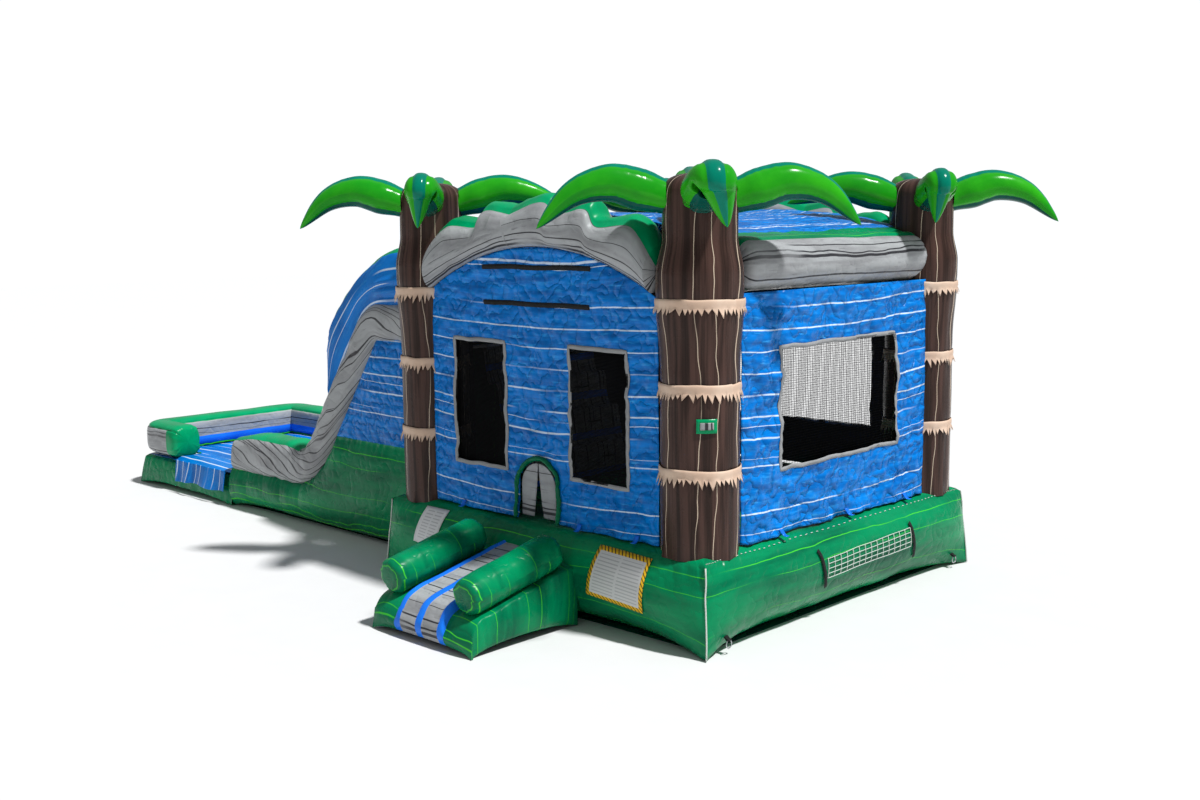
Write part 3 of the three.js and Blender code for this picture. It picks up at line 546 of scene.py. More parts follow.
# ---- Camera, light and floor ----
def make_camera():
    """The view of the photograph: a 40 mm lens from the front right, a little above the roof."""
    place = Vector((8.185, -9.539, 3.358))
    azimuth, pitch, roll = (math.radians(a) for a in (43.99, 7.83, 0.58))
    right = Vector((math.cos(azimuth), math.sin(azimuth), 0))
    ahead = Vector((-math.sin(azimuth), math.cos(azimuth), 0))
    up = Vector((0, 0, 1))
    forward = ahead * math.cos(pitch) - up * math.sin(pitch)
    down = -up * math.cos(pitch) - ahead * math.sin(pitch)
    tilted_right = right * math.cos(roll) + down * math.sin(roll)
    tilted_down = down * math.cos(roll) - right * math.sin(roll)
    data = bpy.data.cameras.new("camera")
    data.lens = 40.0
    data.sensor_width = 36.0
    data.clip_end = 200.0
    camera = bpy.data.objects.new("camera", data)
    camera.matrix_world = Matrix(
        [[tilted_right[i], -tilted_down[i], -forward[i], place[i]] for i in range(3)] + [[0, 0, 0, 1]]
    )
    bpy.context.scene.collection.objects.link(camera)
    bpy.context.scene.camera = camera


def make_light():
    """Bright soft daylight-like studio: a high key from the right and a pale surround."""
    key = bpy.data.lights.new("key", "SUN")
    key.energy = 4.3
    key.angle = math.radians(4)
    lamp = bpy.data.objects.new("key", key)
    lamp.rotation_euler = Vector((0.44, 0.10, 0.88)).to_track_quat("Z", "Y").to_euler()
    bpy.context.scene.collection.objects.link(lamp)
    world = bpy.data.worlds.new("surround")
    world.use_nodes = True
    background = world.node_tree.nodes["Background"]
    background.inputs["Color"].default_value = (0.94, 0.97, 1.0, 1.0)
    seen = node(world.node_tree, "ShaderNodeLightPath").outputs["Is Camera Ray"]
    strength = calc(world.node_tree, "MULTIPLY_ADD", seen, 0.80, 0.28)
    world.node_tree.links.new(strength, background.inputs["Strength"])
    bpy.context.scene.world = world
    bpy.context.scene.view_settings.view_transform = "Standard"


def make_floor():
    """A pale studio floor with a faint grain."""
    low, high = (Vector(c) for c in cad_box)
    middle = (low + high) / 2
    reach = 60.0
    mesh = bpy.data.meshes.new("studio_floor")
    corners = [(-reach, -reach), (reach, -reach), (reach, reach), (-reach, reach)]
    mesh.from_pydata([(middle.x + x, middle.y + y, -0.002) for x, y in corners], [], [(0, 1, 2, 3)])
    material, tree, bsdf = new_material("studio_floor")
    where = node(tree, "ShaderNodeTexCoord").outputs["Object"]
    grain = noise_node(tree, where, 3.0, 5.0)
    tree.links.new(colour_mix(tree, grain, (0.68, 0.68, 0.68), (0.72, 0.72, 0.72)), bsdf.inputs["Base Color"])
    bsdf.inputs["Roughness"].default_value = 0.9
    mesh.materials.append(material)
    floor = bpy.data.objects.new("studio_floor", mesh)
    bpy.context.scene.collection.objects.link(floor)


# ---- House base ----
RIM_INSET = 0.055
RIM_DROP = 0.06
SIDE_BULGE = 0.135
BASE_LIFT = 0.10  # of the bottom seam between the corners


def base_seam(along, half, seed):
    """Inset and height of the seam along the bottom of a side, which droops to an ear at each corner."""
    corner = half - np.abs(along)
    raised = 1 - np.exp(-corner / 0.33)
    wave = 0.018 * noise(along * 1.7, 0.0, seed) + 0.008 * noise(along * 5.0, 0.0, seed + 1)
    return 0.115 * raised, 0.004 + (BASE_LIFT + wave) * raised


def inflated_side(side, half, across, top, width, seed, columns=220, lift=1.0, bulge=SIDE_BULGE):
    """A base side as a grid: the underside, the bulging face and the top, with mitred ends."""
    share = np.sin(np.linspace(-1, 1, columns) * np.pi / 2)
    along = share * half
    corner = half - np.abs(along)
    seam_inset, seam_z = base_seam(along, half, seed)
    seam_inset = seam_inset * bulge / SIDE_BULGE
    seam_z = 0.004 + (seam_z - 0.004) * lift
    rim_z = top - RIM_DROP + 0.006 * noise(along * 4, 0.0, seed + 2)
    swell = bulge * (1 - np.exp(-corner / 0.24))
    rows = []
    for t in np.linspace(0, 1, 6)[:-1]:
        inset = seam_inset + 0.24 * (1 - t)
        rows.append((inset, 0.004 + (seam_z - 0.004) * t**2))
    height = rim_z - seam_z
    for t in np.linspace(0, 1, 26):
        crown = np.sin(np.pi * t) ** 0.75
        inset = seam_inset + (RIM_INSET - seam_inset) * t - swell * crown
        inset = inset + pucker(along, t * height, 0.007, 0.05, 0.035, seed + 3)
        inset = inset + pucker(along, (1 - t) * height, 0.009, 0.06, 0.03, seed + 4)
        inset = inset + 0.006 * noise(along * 2.2, t * 1.5, seed + 5) * crown
        rows.append((inset, seam_z + height * t))
    for t in np.linspace(0, 1, 12)[1:]:
        inset = RIM_INSET + (width - RIM_INSET) * t**1.4
        rise = (top - rim_z) * (1 - np.exp(-(inset - RIM_INSET) / 0.06))
        rise = rise - np.abs(pucker(along, inset - RIM_INSET, 0.008, 0.05, 0.03, seed + 6))
        rows.append((inset + 0 * along, np.minimum(rim_z + rise, top)))
    points = [on_side(side, share * (half - inset), across - inset, z) for inset, z in rows]
    return np.array(points)


def house_base():
    halves = {"front": HALF_WIDTH, "back": HALF_WIDTH, "right": HALF_DEPTH, "left": HALF_DEPTH}
    across = {"front": HALF_DEPTH, "back": HALF_DEPTH, "right": HALF_WIDTH, "left": HALF_WIDTH}
    for number, side in enumerate(SIDES):
        points = inflated_side(side, halves[side], across[side], BASE_TOP, BASE_TUBE, 20 * number)
        name = f"{side}_base_cover"
        surface(name, points, "green", turn_uv=True, replaces=[f"{side}_base_tube"])
        corner_piping(side, halves[side], across[side])
        if side in ("right", "back"):
            # Partly painted highlight: the white rim dashes go only on the right and back sides, where the
            # sun falls.
            rim_stitch_glints(side, points[31], 3)


def corner_piping(side, half, across):
    """White piping up the corner at the end of a side."""
    t = np.linspace(0, 1, 14)
    inset = RIM_INSET * t - 0.004
    sway = 0.003 * noise(t * 6, 0.0, len(side))
    path = on_side(side, half - inset, across - inset, 0.008 + (BASE_TOP - RIM_DROP - 0.008) * t)
    path = path + sway[:, None]
    tube(f"{side}_corner_piping", path, 0.0065, "white_cord")


def rim_stitch_glints(side, line, every):
    """Short white stitches along the rim, where the top is sewn to the side; their white is partly painted
    highlight where the sun catches the seam.
    """
    stitches = []
    for k in range(6, len(line) - 8, every):
        dash = line[k : k + 2] + np.array([0, 0, 0.004])
        out = on_side(side, 0.0, 0.004, 0.0)
        stitches.append(tube("stitch_glint", dash + out, 0.0035, "white_cord", sides=4))
    joined(f"{side}_rim_stitch_glints", stitches)


def bounce_floor():
    """The quilted floor: square cushions between sewn channels."""
    low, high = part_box("bounce_floor")
    count = 121
    x = np.linspace(low.x, high.x, count)[:, None]
    y = np.linspace(low.y, high.y, count)[None, :]
    pitch = (high.x - low.x) / 5
    ridge = np.abs(np.sin(np.pi * (x - low.x) / pitch)) ** 0.5
    cross = np.abs(np.sin(np.pi * (y - low.y) / pitch)) ** 0.5
    z = high.z - 0.045 * (1 - np.minimum(ridge, cross)) - 0.003 * np.abs(noise(x * 9, y * 9, 3))
    points = grid(x, y, z)
    surface("bounce_floor_cover", points, "green", replaces=["bounce_floor"])


# ---- Palms ----
THATCH_TOPS = (2.734, 2.089, 1.433)
TRUNK_ROWS = 110
DOME_ROWS = 14
DOME_RISE = 0.16
FROND_REACH = 1.25  # the furthest a frond reaches from the middle of its trunk
FROND_POINTS = 48
OPPOSITE = {
    "front_left": "back_right", "back_right": "front_left",
    "front_right": "back_left", "back_left": "front_right",
}


def trunk_radius(z):
    """The trunk's radius at a height: it swells where the beams meet it and draws in at the fronds."""
    low = TRUNK_BULGE - 0.027
    neck = TRUNK_BULGE - 0.048
    swell = smooth((z - 2.2) / 0.5)
    shrink = smooth((z - 2.92) / 0.28)
    return low + (TRUNK_BULGE - low) * swell + (neck - TRUNK_BULGE) * shrink


def palm_trunk(corner, centre, seed):
    shoulder = TRUNK_TOP - DOME_RISE
    straight = np.linspace(BASE_TOP - 0.05, shoulder, TRUNK_ROWS)
    heights = np.concatenate([straight, np.full(DOME_ROWS, TRUNK_TOP)])
    dome = np.linspace(0, np.pi / 2, DOME_ROWS + 1)[1:]
    angle = np.linspace(0, 2 * np.pi, 97)
    around = angle * TRUNK_BULGE
    rows = []
    for k, z in enumerate(heights):
        radius = trunk_radius(min(z, shoulder))
        height = z
        if k >= TRUNK_ROWS:
            turn = dome[k - TRUNK_ROWS]
            drawn_in = (radius - 0.15) * smooth(1.6 * turn / np.pi - 0.1) ** 2
            radius = radius - 0.15 * (1 - np.cos(turn)) - drawn_in
            height = shoulder + 0.15 * np.sin(turn)
            radius = max(radius, 0.0) if k < len(heights) - 1 else 0.0
        panels = 0.004 * np.abs(np.sin(4 * angle))
        folds = 0.006 * noise(around * 9 + 50, height * 1.3, seed) * np.exp(-abs(height - 2.92) / 0.25)
        foot = 0.007 * noise(around * 16, 0.0, seed + 1) * np.exp(-(height - BASE_TOP) / 0.06)
        lumps = 0.004 * noise(around * 3, height * 2.5, seed + 2)
        ring = radius + (panels + folds + foot + lumps) * min(1.0, radius / 0.2)
        ring[-1] = ring[0]
        for top in THATCH_TOPS:
            ring = ring - 0.006 * np.exp(-(((height - top + 0.03) / 0.05) ** 2))
        rows.append(ring_of(centre, ring, angle, height))
    name = f"{corner}_palm_trunk_cover"
    surface(name, rows, "brown", replaces=[f"{corner}_palm_trunk"])


def thatch_band(corner, centre, number, top):
    """A cream strip round the trunk with a ragged fringe of pointed teeth."""
    seed = 31 * number + 7 * len(corner)
    teeth = 46
    columns = [0.0]
    tips = []
    for k in range(teeth):
        width = 1.0 + 0.55 * float(noise(k * 1.37, 0.0, seed))
        columns.append(columns[-1] + width)
        tips.append(0.035 + 0.05 * abs(float(noise(k * 1.9 + 4, 3.0, seed + 1))))
    edges = np.array(columns) / columns[-1] * 2 * np.pi
    angle, fringe = [], []
    for k in range(teeth):
        lean = 0.5 + 0.3 * float(noise(k * 2.3, 5.0, seed + 2))
        span = edges[k + 1] - edges[k]
        for share in (0.0, 0.5 * lean, lean, 0.5 + 0.5 * lean):
            angle.append(edges[k] + share * span)
            reach = 1 - abs(share - lean) / (lean if share < lean else 1 - lean)
            fringe.append(0.008 + tips[k] * max(reach, 0.0))
    angle = np.array(angle + [2 * np.pi])
    fringe = np.array(fringe + fringe[:1])
    wave = 0.006 * noise(angle * 3, 0.0, seed + 3)
    wave[-1] = wave[0]
    strip = 0.06
    rows = []
    for t in (0.0, 0.3, 0.65, 1.0, 1.33, 1.67, 2.0):
        below = strip * min(t, 1.0) + fringe * max(t - 1.0, 0.0)
        z = top + wave - below
        spread = 0.028 * (fringe / 0.1) * max(t - 1.0, 0.0) ** 1.5
        flare = 0.009 + 0.004 * np.sin(np.pi * min(t, 1.0)) + spread
        curl = 1 + 0.5 * noise(angle * 14, 0.0, seed + 4)
        curl[-1] = curl[0]
        radius = trunk_radius(z) + flare * (curl if t > 1 else 1)
        rows.append(ring_of(centre, radius, angle, z))
    name = f"{corner}_thatch_band_{number}"
    surface(name, rows, "thatch", thick=0.003)


def frond(corner, centre, direction):
    """A drooping inflated leaf of four panels: a narrow top, two lime sides and a dark underside."""
    low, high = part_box(f"{corner}_palm_frond_{direction}")
    away = Vector((1 if "right" in direction else -1, 1 if "back" in direction else -1, 0)).normalized()
    side = Vector((-away.y, away.x, 0))
    root = TRUNK_BULGE - 0.048 + 0.004
    reach = min(max(abs((end - centre).dot(away)) for end in (low, high)), FROND_REACH)
    inner = direction == OPPOSITE[corner]
    tip = 3.46 if inner else 3.27
    spine = spline([(root - 0.03, 3.49), (root + 0.16, 3.545), (root + 0.40, 3.60),
                    (0.5 * (root + 0.40 + reach), 3.555 if inner else 3.52), (reach, tip)], FROND_POINTS)
    step = directions(spine)
    t = np.linspace(0, 1, FROND_POINTS)
    taper = (1 - t**2.7) ** 0.8 * (0.80 + 0.20 * smooth(t / 0.28))
    leads = {"front_left": -1, "back_left": 1, "front_right": 1, "back_right": -1}[corner]
    drift = 0.13 * leads * t**2.2 if corner == direction else 0.05 * leads * t**2.2
    angle = np.linspace(0, 2 * np.pi, 57)
    seams = np.radians([62, 118, 225, 315])
    seed = 11 * len(corner) + 3 * len(direction)
    rows = []
    for k in range(len(t)):
        gap = np.min(np.abs(((angle[:, None] - seams[None, :]) + np.pi) % (2 * np.pi) - np.pi), axis=1)
        crease = 0.085 * np.exp(-((gap / 0.16) ** 2))
        seam_ripple = 0.03 * noise(k * 0.9, 0.0, seed) * np.exp(-gap / 0.3)
        shape = taper[k] * (1 - crease + seam_ripple)
        a = np.cos(angle) * shape * (0.195 if corner == direction else 0.17)
        b = np.sin(angle) * shape * np.where(np.sin(angle) > 0, 0.175, 0.15)
        lean = step[k] if k else np.array([1.0, 0.0])
        out = spine[k, 0] - lean[1] * b
        z = spine[k, 1] + lean[0] * b
        rows.append(np.stack([
            centre.x + away.x * out + side.x * (a + drift[k]),
            centre.y + away.y * out + side.y * (a + drift[k]),
            z,
        ], axis=1))
    middle = np.degrees(middles(angle))
    kind = np.where((middle > 62) & (middle < 118), 1, 0)
    kind = np.where((middle > 225) & (middle < 315), 2, kind)
    faces = banded(kind, len(t) - 1)
    node_name = f"{corner}_palm_frond_{direction}"
    surface(
        f"{node_name}_cover", rows, ("lime", "teal", "teal_deep"),
        faces=faces, replaces=[node_name],
    )


def palms():
    for seed, (corner, centre) in enumerate(TRUNK.items()):
        palm_trunk(corner, centre, 5 * seed)
        for number, top in enumerate(THATCH_TOPS, 1):
            thatch_band(corner, centre, number, top)
        for direction in TRUNK:
            frond(corner, centre, direction)


# ---- Beams and roof ----
ARCH_RISE = 0.35
ARCH_HALF = TRUNK_X - 0.98 * (TRUNK_BULGE - 0.027)
BEAM_FRONT = -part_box("front_arch_beam")[0].y
BEAM_BACK = -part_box("front_arch_beam")[1].y
BEAM_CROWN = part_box("front_arch_beam")[1].z
EDGE_ROUND = 0.07


def arch_low(x):
    """The underside of an arch beam."""
    radius = (ARCH_HALF**2 + ARCH_RISE**2) / (2 * ARCH_RISE)
    return BEAM_UNDERSIDE + ARCH_RISE - radius + np.sqrt(np.maximum(radius**2 - np.asarray(x) ** 2, 0))


def arch_top(count):
    """The scalloped top line of an arch beam, as (x, z)."""
    half = [(0.81, 0.43), (0.69, 0.19), (0.45, 0.19), (0.37, 0.05), (0.16, 0.09)]
    right = [(share * TRUNK_X, BEAM_CROWN - drop) for share, drop in half]
    right = [(ARCH_HALF, BEAM_UNDERSIDE + 0.33)] + [(x, z) for x, z in right if x < ARCH_HALF - 0.03]
    left = [(-x, z) for x, z in reversed(right)]
    return spline(left + [(0.0, BEAM_CROWN)] + right[::-1], count)


def arch_beam(side):
    """A puffed beam: marbled faces, an arched underside and a bulging green top."""
    columns = 230
    outline = arch_top(columns)
    x, top = outline[:, 0], outline[:, 1]
    low = arch_low(x) + 0.003
    seed = 60 if side == "front" else 80
    face_rows, cap_rows = 22, 11
    ring = []
    for t in np.linspace(0, 1, face_rows):
        z = low + (top - EDGE_ROUND * 0.6 - low) * t
        fold = 0.016 * noise(x * 11, z * 1.1, seed) * np.exp(-(top - z) / 0.13)
        lump = 0.012 * noise(x * 2.6, z * 2.2, seed + 1)
        gather = pucker(x, z - low, 0.007, 0.05, 0.03, seed + 2)
        out = BEAM_FRONT - EDGE_ROUND + 0.09 * np.sin(np.pi * t) ** 0.55 + fold + lump + gather
        ring.append((out, z))
    for t in np.linspace(0, 1, cap_rows + 2)[1:-1]:
        out = BEAM_FRONT - EDGE_ROUND + (BEAM_BACK - BEAM_FRONT + 2 * EDGE_ROUND) * t
        rise = 0.085 * np.sin(np.pi * t) ** 0.6
        ripple = 0.01 * noise(x * 13, t * 2.0, seed + 3)
        ring.append((out + 0 * x, top - EDGE_ROUND * 0.6 + rise + ripple))
    for t in np.linspace(1, 0, 16):
        z = low + (top - EDGE_ROUND * 0.6 - low) * t
        fold = 0.012 * noise(x * 11, z * 1.1, seed + 4) * np.exp(-(top - z) / 0.13)
        ring.append((BEAM_BACK + EDGE_ROUND - 0.07 * np.sin(np.pi * t) ** 0.55 + fold, z))
    for t in np.linspace(0, 1, 7)[1:]:
        out = BEAM_BACK + EDGE_ROUND + (BEAM_FRONT - BEAM_BACK - 2 * EDGE_ROUND) * t
        ring.append((out + 0 * x, low + 0 * x))
    ring[-1] = ring[0]
    points = crossed([on_side(side, x, out, z) for out, z in ring])
    first, last = (
        np.repeat(edge.mean(axis=0)[None, None], len(ring), axis=1) for edge in (points[0], points[-1])
    )
    points = np.concatenate([first, points, last])
    kinds = np.zeros(len(ring) - 1, int)
    kinds[face_rows - 1 : face_rows + cap_rows] = 1
    faces = banded(kinds, columns + 1)
    surface(
        f"{side}_arch_beam_cover", points, ("grey", "green_plain"),
        faces=faces, replaces=[f"{side}_arch_beam"],
    )


def side_beam(name, sign):
    """A marbled tube with rounded ends and a green strip along its top."""
    low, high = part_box(name)
    centre_x, centre_z = (low.x + high.x) / 2, (low.z + high.z) / 2 + 0.022
    radius = (high.z - low.z) / 2 + 0.028
    rounding = 0.1
    share = np.linspace(-1, 1, 121)
    start, stop = low.y - 0.035, high.y + 0.035
    y = np.concatenate([[start], start + (stop - start) * (share + 1) / 2, [stop]])
    end = np.minimum(y - start, stop - y)
    shape = 0.65 + 0.35 * blunt(end, rounding)
    shape[0] = shape[-1] = 0.0
    angle = np.linspace(0, 2 * np.pi, 65)
    rows = []
    for k in range(len(y)):
        gather = pucker(angle * radius, end[k], 0.01, 0.07, 0.03, 91)
        gather[-1] = gather[0]
        seam = 0.012 * np.exp(-(((np.abs(angle - np.pi / 2) - 0.5) / 0.07) ** 2))
        lump = 0.006 * noise(y[k] * 3, angle * 1.5, 93)
        ring = (radius + gather - seam + lump) * shape[k]
        ring[-1] = ring[0]
        rows.append(np.stack([
            centre_x + sign * ring * np.cos(angle), 0 * angle + y[k], centre_z + ring * np.sin(angle),
        ], axis=1))
    middle = middles(angle)
    kinds = np.where(np.abs(middle - np.pi / 2) < 0.5, 1, 0)
    faces = banded(kinds, len(y) - 1)
    surface(f"{name}_cover", rows, ("grey", "green"), faces=faces, replaces=[name])


def roof():
    """The roof cloth, arched between the side beams, with a green edge along each of them."""
    low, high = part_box("roof_canopy")
    eave, crown = low.z + 0.012, high.z
    edge = 0.2
    half = high.x
    radius = (half**2 + (crown - eave) ** 2) / (2 * (crown - eave))
    x = np.linspace(-half, half, 181)[None, :]
    y = np.linspace(low.y, high.y, 161)[:, None]
    z = crown - radius + np.sqrt(radius**2 - x**2)
    sag = 0.014 * crumple(x * 0.8, y * 0.8, 101) + 0.03 * noise(x * 0.8, y * 0.8, 102)
    inset = smooth((half - np.abs(x)) / edge)
    z = z + (sag - 0.012) * inset
    points = grid(x, y, z)
    middle = middles(x[0])
    kinds = np.where(np.abs(middle) > half - edge, 1, 0)
    faces = banded(kinds, len(y) - 1)
    cloth = surface(
        "roof_canopy_cover", points, ("blue", "green"), faces=faces,
        thick=0.008, outward=False, replaces=["roof_canopy"],
    )


# ---- Walls ----
WALL_SEED = {"front": 110, "right": 130, "back": 150, "left": 170}
WALL_FOLD = {"front": 0.024, "right": 0.038, "back": 0.026, "left": 0.012}
HEM_REACH = 0.11
DOORWAY_MARGIN = 0.03  # from the door flaps to the edge cut in the wall
STRAIGHT_TO = 2.5  # above this the rows of a wall's grid bend up to the arch


def wall_top(side, along):
    if side in ("front", "back"):
        return arch_low(along) - 0.004
    return BEAM_UNDERSIDE - 0.004 + 0 * np.asarray(along, float)


def wall_out(side, along, z):
    """How far a wall's cloth lies from the house's middle: folds, a soft belly and a loose hem."""
    seed = WALL_SEED[side]
    held = 0.25 + 0.75 * smooth((WALL_REACH - np.abs(along)) / 0.14)
    held = held * (0.3 + 0.7 * smooth((wall_top(side, along) - z) / 0.12))
    fold = WALL_FOLD[side] * crumple(along, z * 1.2, seed)
    belly = 0.022 * noise(np.asarray(along) * 0.9, z * 0.7, seed + 20)
    hem = np.exp(-(z - BASE_TOP) / HEM_REACH)
    flap = hem * (0.022 + 0.026 * noise(np.asarray(along) * 6, 0.0, seed + 30))
    return WALL_PLANE + (fold + belly) * held + flap * smooth((WALL_REACH - np.abs(along)) / 0.05)


def lines_through(low, high, step, stops):
    """Values from low to high, about a step apart, that pass through the stops."""
    marks = sorted({low, high, *(s for s in stops if low < s < high)})
    parts = [
        np.linspace(a, b, max(2, int(round((b - a) / step)) + 1))[:-1]
        for a, b in zip(marks, marks[1:])
    ]
    return np.concatenate([*parts, [high]])


def door_half_width(z, margin):
    """Half the doorway's width at a height, widened by a margin; negative above it."""
    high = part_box("right_door_flap")[1]
    half = high.x + margin
    spring = high.z - high.x
    top = np.sqrt(np.maximum(half**2 - np.maximum(np.asarray(z) - spring, 0) ** 2, 0))
    return np.where(np.asarray(z) - spring > half, -1.0, top)


def wall_sheet(side, holes, doorway=False):
    """A wall's cloth with its window holes, each (along0, along1, z0, z1)."""
    top_most = float(np.max(wall_top(side, np.array([0.0]))))
    along = lines_through(-WALL_REACH, WALL_REACH, 0.023, [h[i] for h in holes for i in (0, 1)])
    level = lines_through(BASE_TOP, top_most, 0.023, [h[i] for h in holes for i in (2, 3)] + [STRAIGHT_TO])
    a, z = np.meshgrid(along, level)
    ceiling = wall_top(side, a)
    bent = STRAIGHT_TO + (z - STRAIGHT_TO) * (ceiling - STRAIGHT_TO) / (top_most - STRAIGHT_TO)
    z = np.where(z > STRAIGHT_TO, bent, z)
    hem = np.exp(-(z - BASE_TOP) / (0.6 * HEM_REACH))
    seed = WALL_SEED[side]
    low_edge = 0.003 + 0.008 * noise(a * 5, 0.0, seed + 40)
    points = on_side(side, a, wall_out(side, a, z), z + hem * low_edge)
    uv = np.stack([a, z + 0.05 * (1 - (a / WALL_REACH) ** 2)], axis=2)
    middle_a = (a[:-1, :-1] + a[1:, 1:]) / 2
    middle_z = (z[:-1, :-1] + z[1:, 1:]) / 2
    keep = np.ones(middle_a.shape, bool)
    for a0, a1, z0, z1 in holes:
        inside = (middle_a > a0) & (middle_a < a1) & (middle_z > z0) & (middle_z < z1)
        keep &= ~inside
    if doorway:
        keep &= ~(np.abs(middle_a) < door_half_width(middle_z, DOORWAY_MARGIN))
    # The inner face takes the near-black painted-shade material.
    cloth = surface(
        f"{side}_wall_cover", points, "blue", uv=uv, keep=keep, thick=0.006,
        painted_shade_inside="painted_shade_inside", outward=False, replaces=[f"{side}_wall_sheet"],
    )
    return cloth


def ribbon(name, side, path, width, out, material, closed=False):
    """A flat strip on a side, along a path of (along, z) points, at the distance that out gives."""
    path = np.asarray(path, float)
    if closed:
        path = np.vstack([path, path[:1]])
    across = normals_of(path, closed)
    rows = []
    for share in (-0.5, 0.0, 0.5):
        at = path + across * width * share
        rows.append(on_side(side, at[:, 0], out(at[:, 0], at[:, 1]), at[:, 1]))
    return surface(name, crossed(rows), material, thick=0.003, outward=False)


def loop_points(a0, a1, z0, z1, step, wobble, seed):
    """The outline of a rectangle as many points, a little uneven."""
    sides = [((a0, z0), (a1, z0)), ((a1, z0), (a1, z1)), ((a1, z1), (a0, z1)), ((a0, z1), (a0, z0))]
    points = []
    for (xa, za), (xb, zb) in sides:
        count = max(2, int(math.hypot(xb - xa, zb - za) / step))
        for k in range(count):
            t = k / count
            points.append((xa + (xb - xa) * t, za + (zb - za) * t))
    points = np.array(points)
    shake = np.stack([noise(points[:, 1] * 7, 1.0, seed), noise(points[:, 0] * 7, 2.0, seed)], axis=1)
    return points + wobble * shake


def net(name, side, hole, pitch, strand, cad_node):
    """Knotted netting: real strands both ways, slack between their fixings."""
    a0, a1, z0, z1 = hole
    seed = len(name)
    margin = 0.004
    strips = []

    def slack(a, z):
        edge = smooth(np.minimum(np.minimum(a - a0, a1 - a), np.minimum(z - z0, z1 - z)) / 0.2 + 0.05)
        return WALL_PLANE - 0.004 + 0.018 * noise(a * 2, z * 2, seed) * edge

    def strand_box(a, z, across_a, across_z):
        a, z = (np.concatenate([line[:1], line, line[-1:]]) for line in (a, z))
        size = np.array([0.0] + [1.0] * (len(a) - 2) + [0.0])
        ring = []
        for da, dz, out in ((-1, -1, -1), (1, 1, -1), (1, 1, 1), (-1, -1, 1), (-1, -1, -1)):
            aa, zz = a + da * across_a * size, z + dz * across_z * size
            ring.append(on_side(side, aa, slack(a, z) + out * 0.0012 * size, zz))
        return surface("strand", crossed(ring), "net")

    for a in np.arange(a0 + margin, a1, pitch):
        z = np.linspace(z0, z1, 13)
        strips.append(strand_box(np.full(13, a), z, strand / 2, 0.0))
    for z in np.arange(z0 + margin, z1, pitch):
        a = np.linspace(a0, a1, 13)
        strips.append(strand_box(a, np.full(13, z), 0.0, strand / 2))
    piece = joined(name, strips)
    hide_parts(cad_node)


def hole_of(cad_node, side):
    """A window's hole, from its netting's box: (along0, along1, z0, z1)."""
    low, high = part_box(cad_node)
    if side == "front":
        return low.x, high.x, low.z, high.z
    if side == "back":
        return -high.x, -low.x, low.z, high.z
    return low.y, high.y, low.z, high.z


def windows(side, specs):
    """The holes of a side's windows, with netting and a silver binding round each."""
    holes = []
    for cad_node, pitch, strand in specs:
        hole = hole_of(cad_node, side)
        holes.append(hole)
        net(f"{cad_node}_strands", side, hole, pitch, strand, cad_node)
        outline = loop_points(*hole, 0.03, 0.006, len(cad_node))
        ribbon(f"{cad_node}_binding", side, outline, 0.036,
               lambda a, z: wall_out(side, a, z) + 0.007, "binding", closed=True)
    return holes


def walls():
    # The front windows' black netting is packed densely: partly the real netting, partly painted shade for
    # the dark inside seen through it.
    wall_sheet("front", windows("front", [
        ("front_left_window_net", 0.011, 0.0052), ("front_right_window_net", 0.011, 0.0052),
    ]), doorway=True)
    wall_sheet("right", windows("right", [("right_window_net", 0.022, 0.0022)]))
    wall_sheet("back", windows("back", [("back_window_net", 0.022, 0.0022)]))
    wall_sheet("left", [(-LANE_BACK, -LANE_FRONT, BASE_TOP - 0.01, BEAM_UNDERSIDE - 0.094)])
    for number, z in enumerate((2.94, 2.63), 1):
        along = np.linspace(-0.655, 0.655, 60)
        level = z + 0.006 * noise(along * 3, z, 7)
        ribbon(f"banner_strip_{number}", "front", np.stack([along, level], axis=1), 0.042,
               lambda a, zz: wall_out("front", a, zz) + 0.007, "strap")
    for side, places in (("front", (-0.95, 0.52, 1.15)), ("right", (-0.9, 0.1, 1.0))):
        for number, along in enumerate(places, 1):
            hem_tab(side, along, number)


def hem_tab(side, along, number):
    """A short tab that ties the wall's hem to the base."""
    t = np.linspace(0, 1, 8)
    out = wall_out(side, along, BASE_TOP + 0.05) + 0.008 + 0.07 * t**1.3
    z = BASE_TOP + 0.055 - 0.05 * smooth(t * 1.3)
    rows = [on_side(side, along + w + 0.01 * t, out, z) for w in (-0.022, 0.0, 0.022)]
    surface(f"{side}_hem_tab_{number}", crossed(rows), "bright_blue",
            thick=0.003, outward=False)


# ---- Door ----
SURROUND_OFFSET = 0.042  # from the door flaps to the middle of the surround
SURROUND_HALF = 0.021


def door_surround():
    """A ruffled green arch round the doorway."""
    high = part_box("right_door_flap")[1]
    half, spring = high.x + SURROUND_OFFSET, high.z - high.x
    turn = np.linspace(np.pi, 0, 46)
    left = [(-half, z) for z in np.linspace(BASE_TOP + 0.012, spring, 16)[:-1]]
    crown = [(half * math.cos(a), spring + half * math.sin(a)) for a in turn]
    right = [(-a, z) for a, z in reversed(left)]
    path = np.array(left + crown + right)
    fine = np.linspace(0, arc_length(path)[-1], 200)
    path = resample(path, len(fine))
    normal = normals_of(path)
    rows = []
    for t in np.linspace(-1, 1, 11):
        frill = 0.010 * noise(fine * 34, t * 1.2, 201) * (0.4 + abs(t)) + 0.008 * noise(fine * 12, 0.0, 202)
        at = path + normal * (SURROUND_HALF * t + 0.003 * noise(fine * 22, 0.0, 203) * abs(t))[:, None]
        puff = 0.022 * (1 - t * t)
        out = wall_out("front", at[:, 0], at[:, 1]) + 0.008 + puff + frill * 0.8 + 0.008
        rows.append(on_side("front", at[:, 0], out, at[:, 1]))
    surface("door_surround", crossed(rows), "green", thick=0.004,
            outward=False)


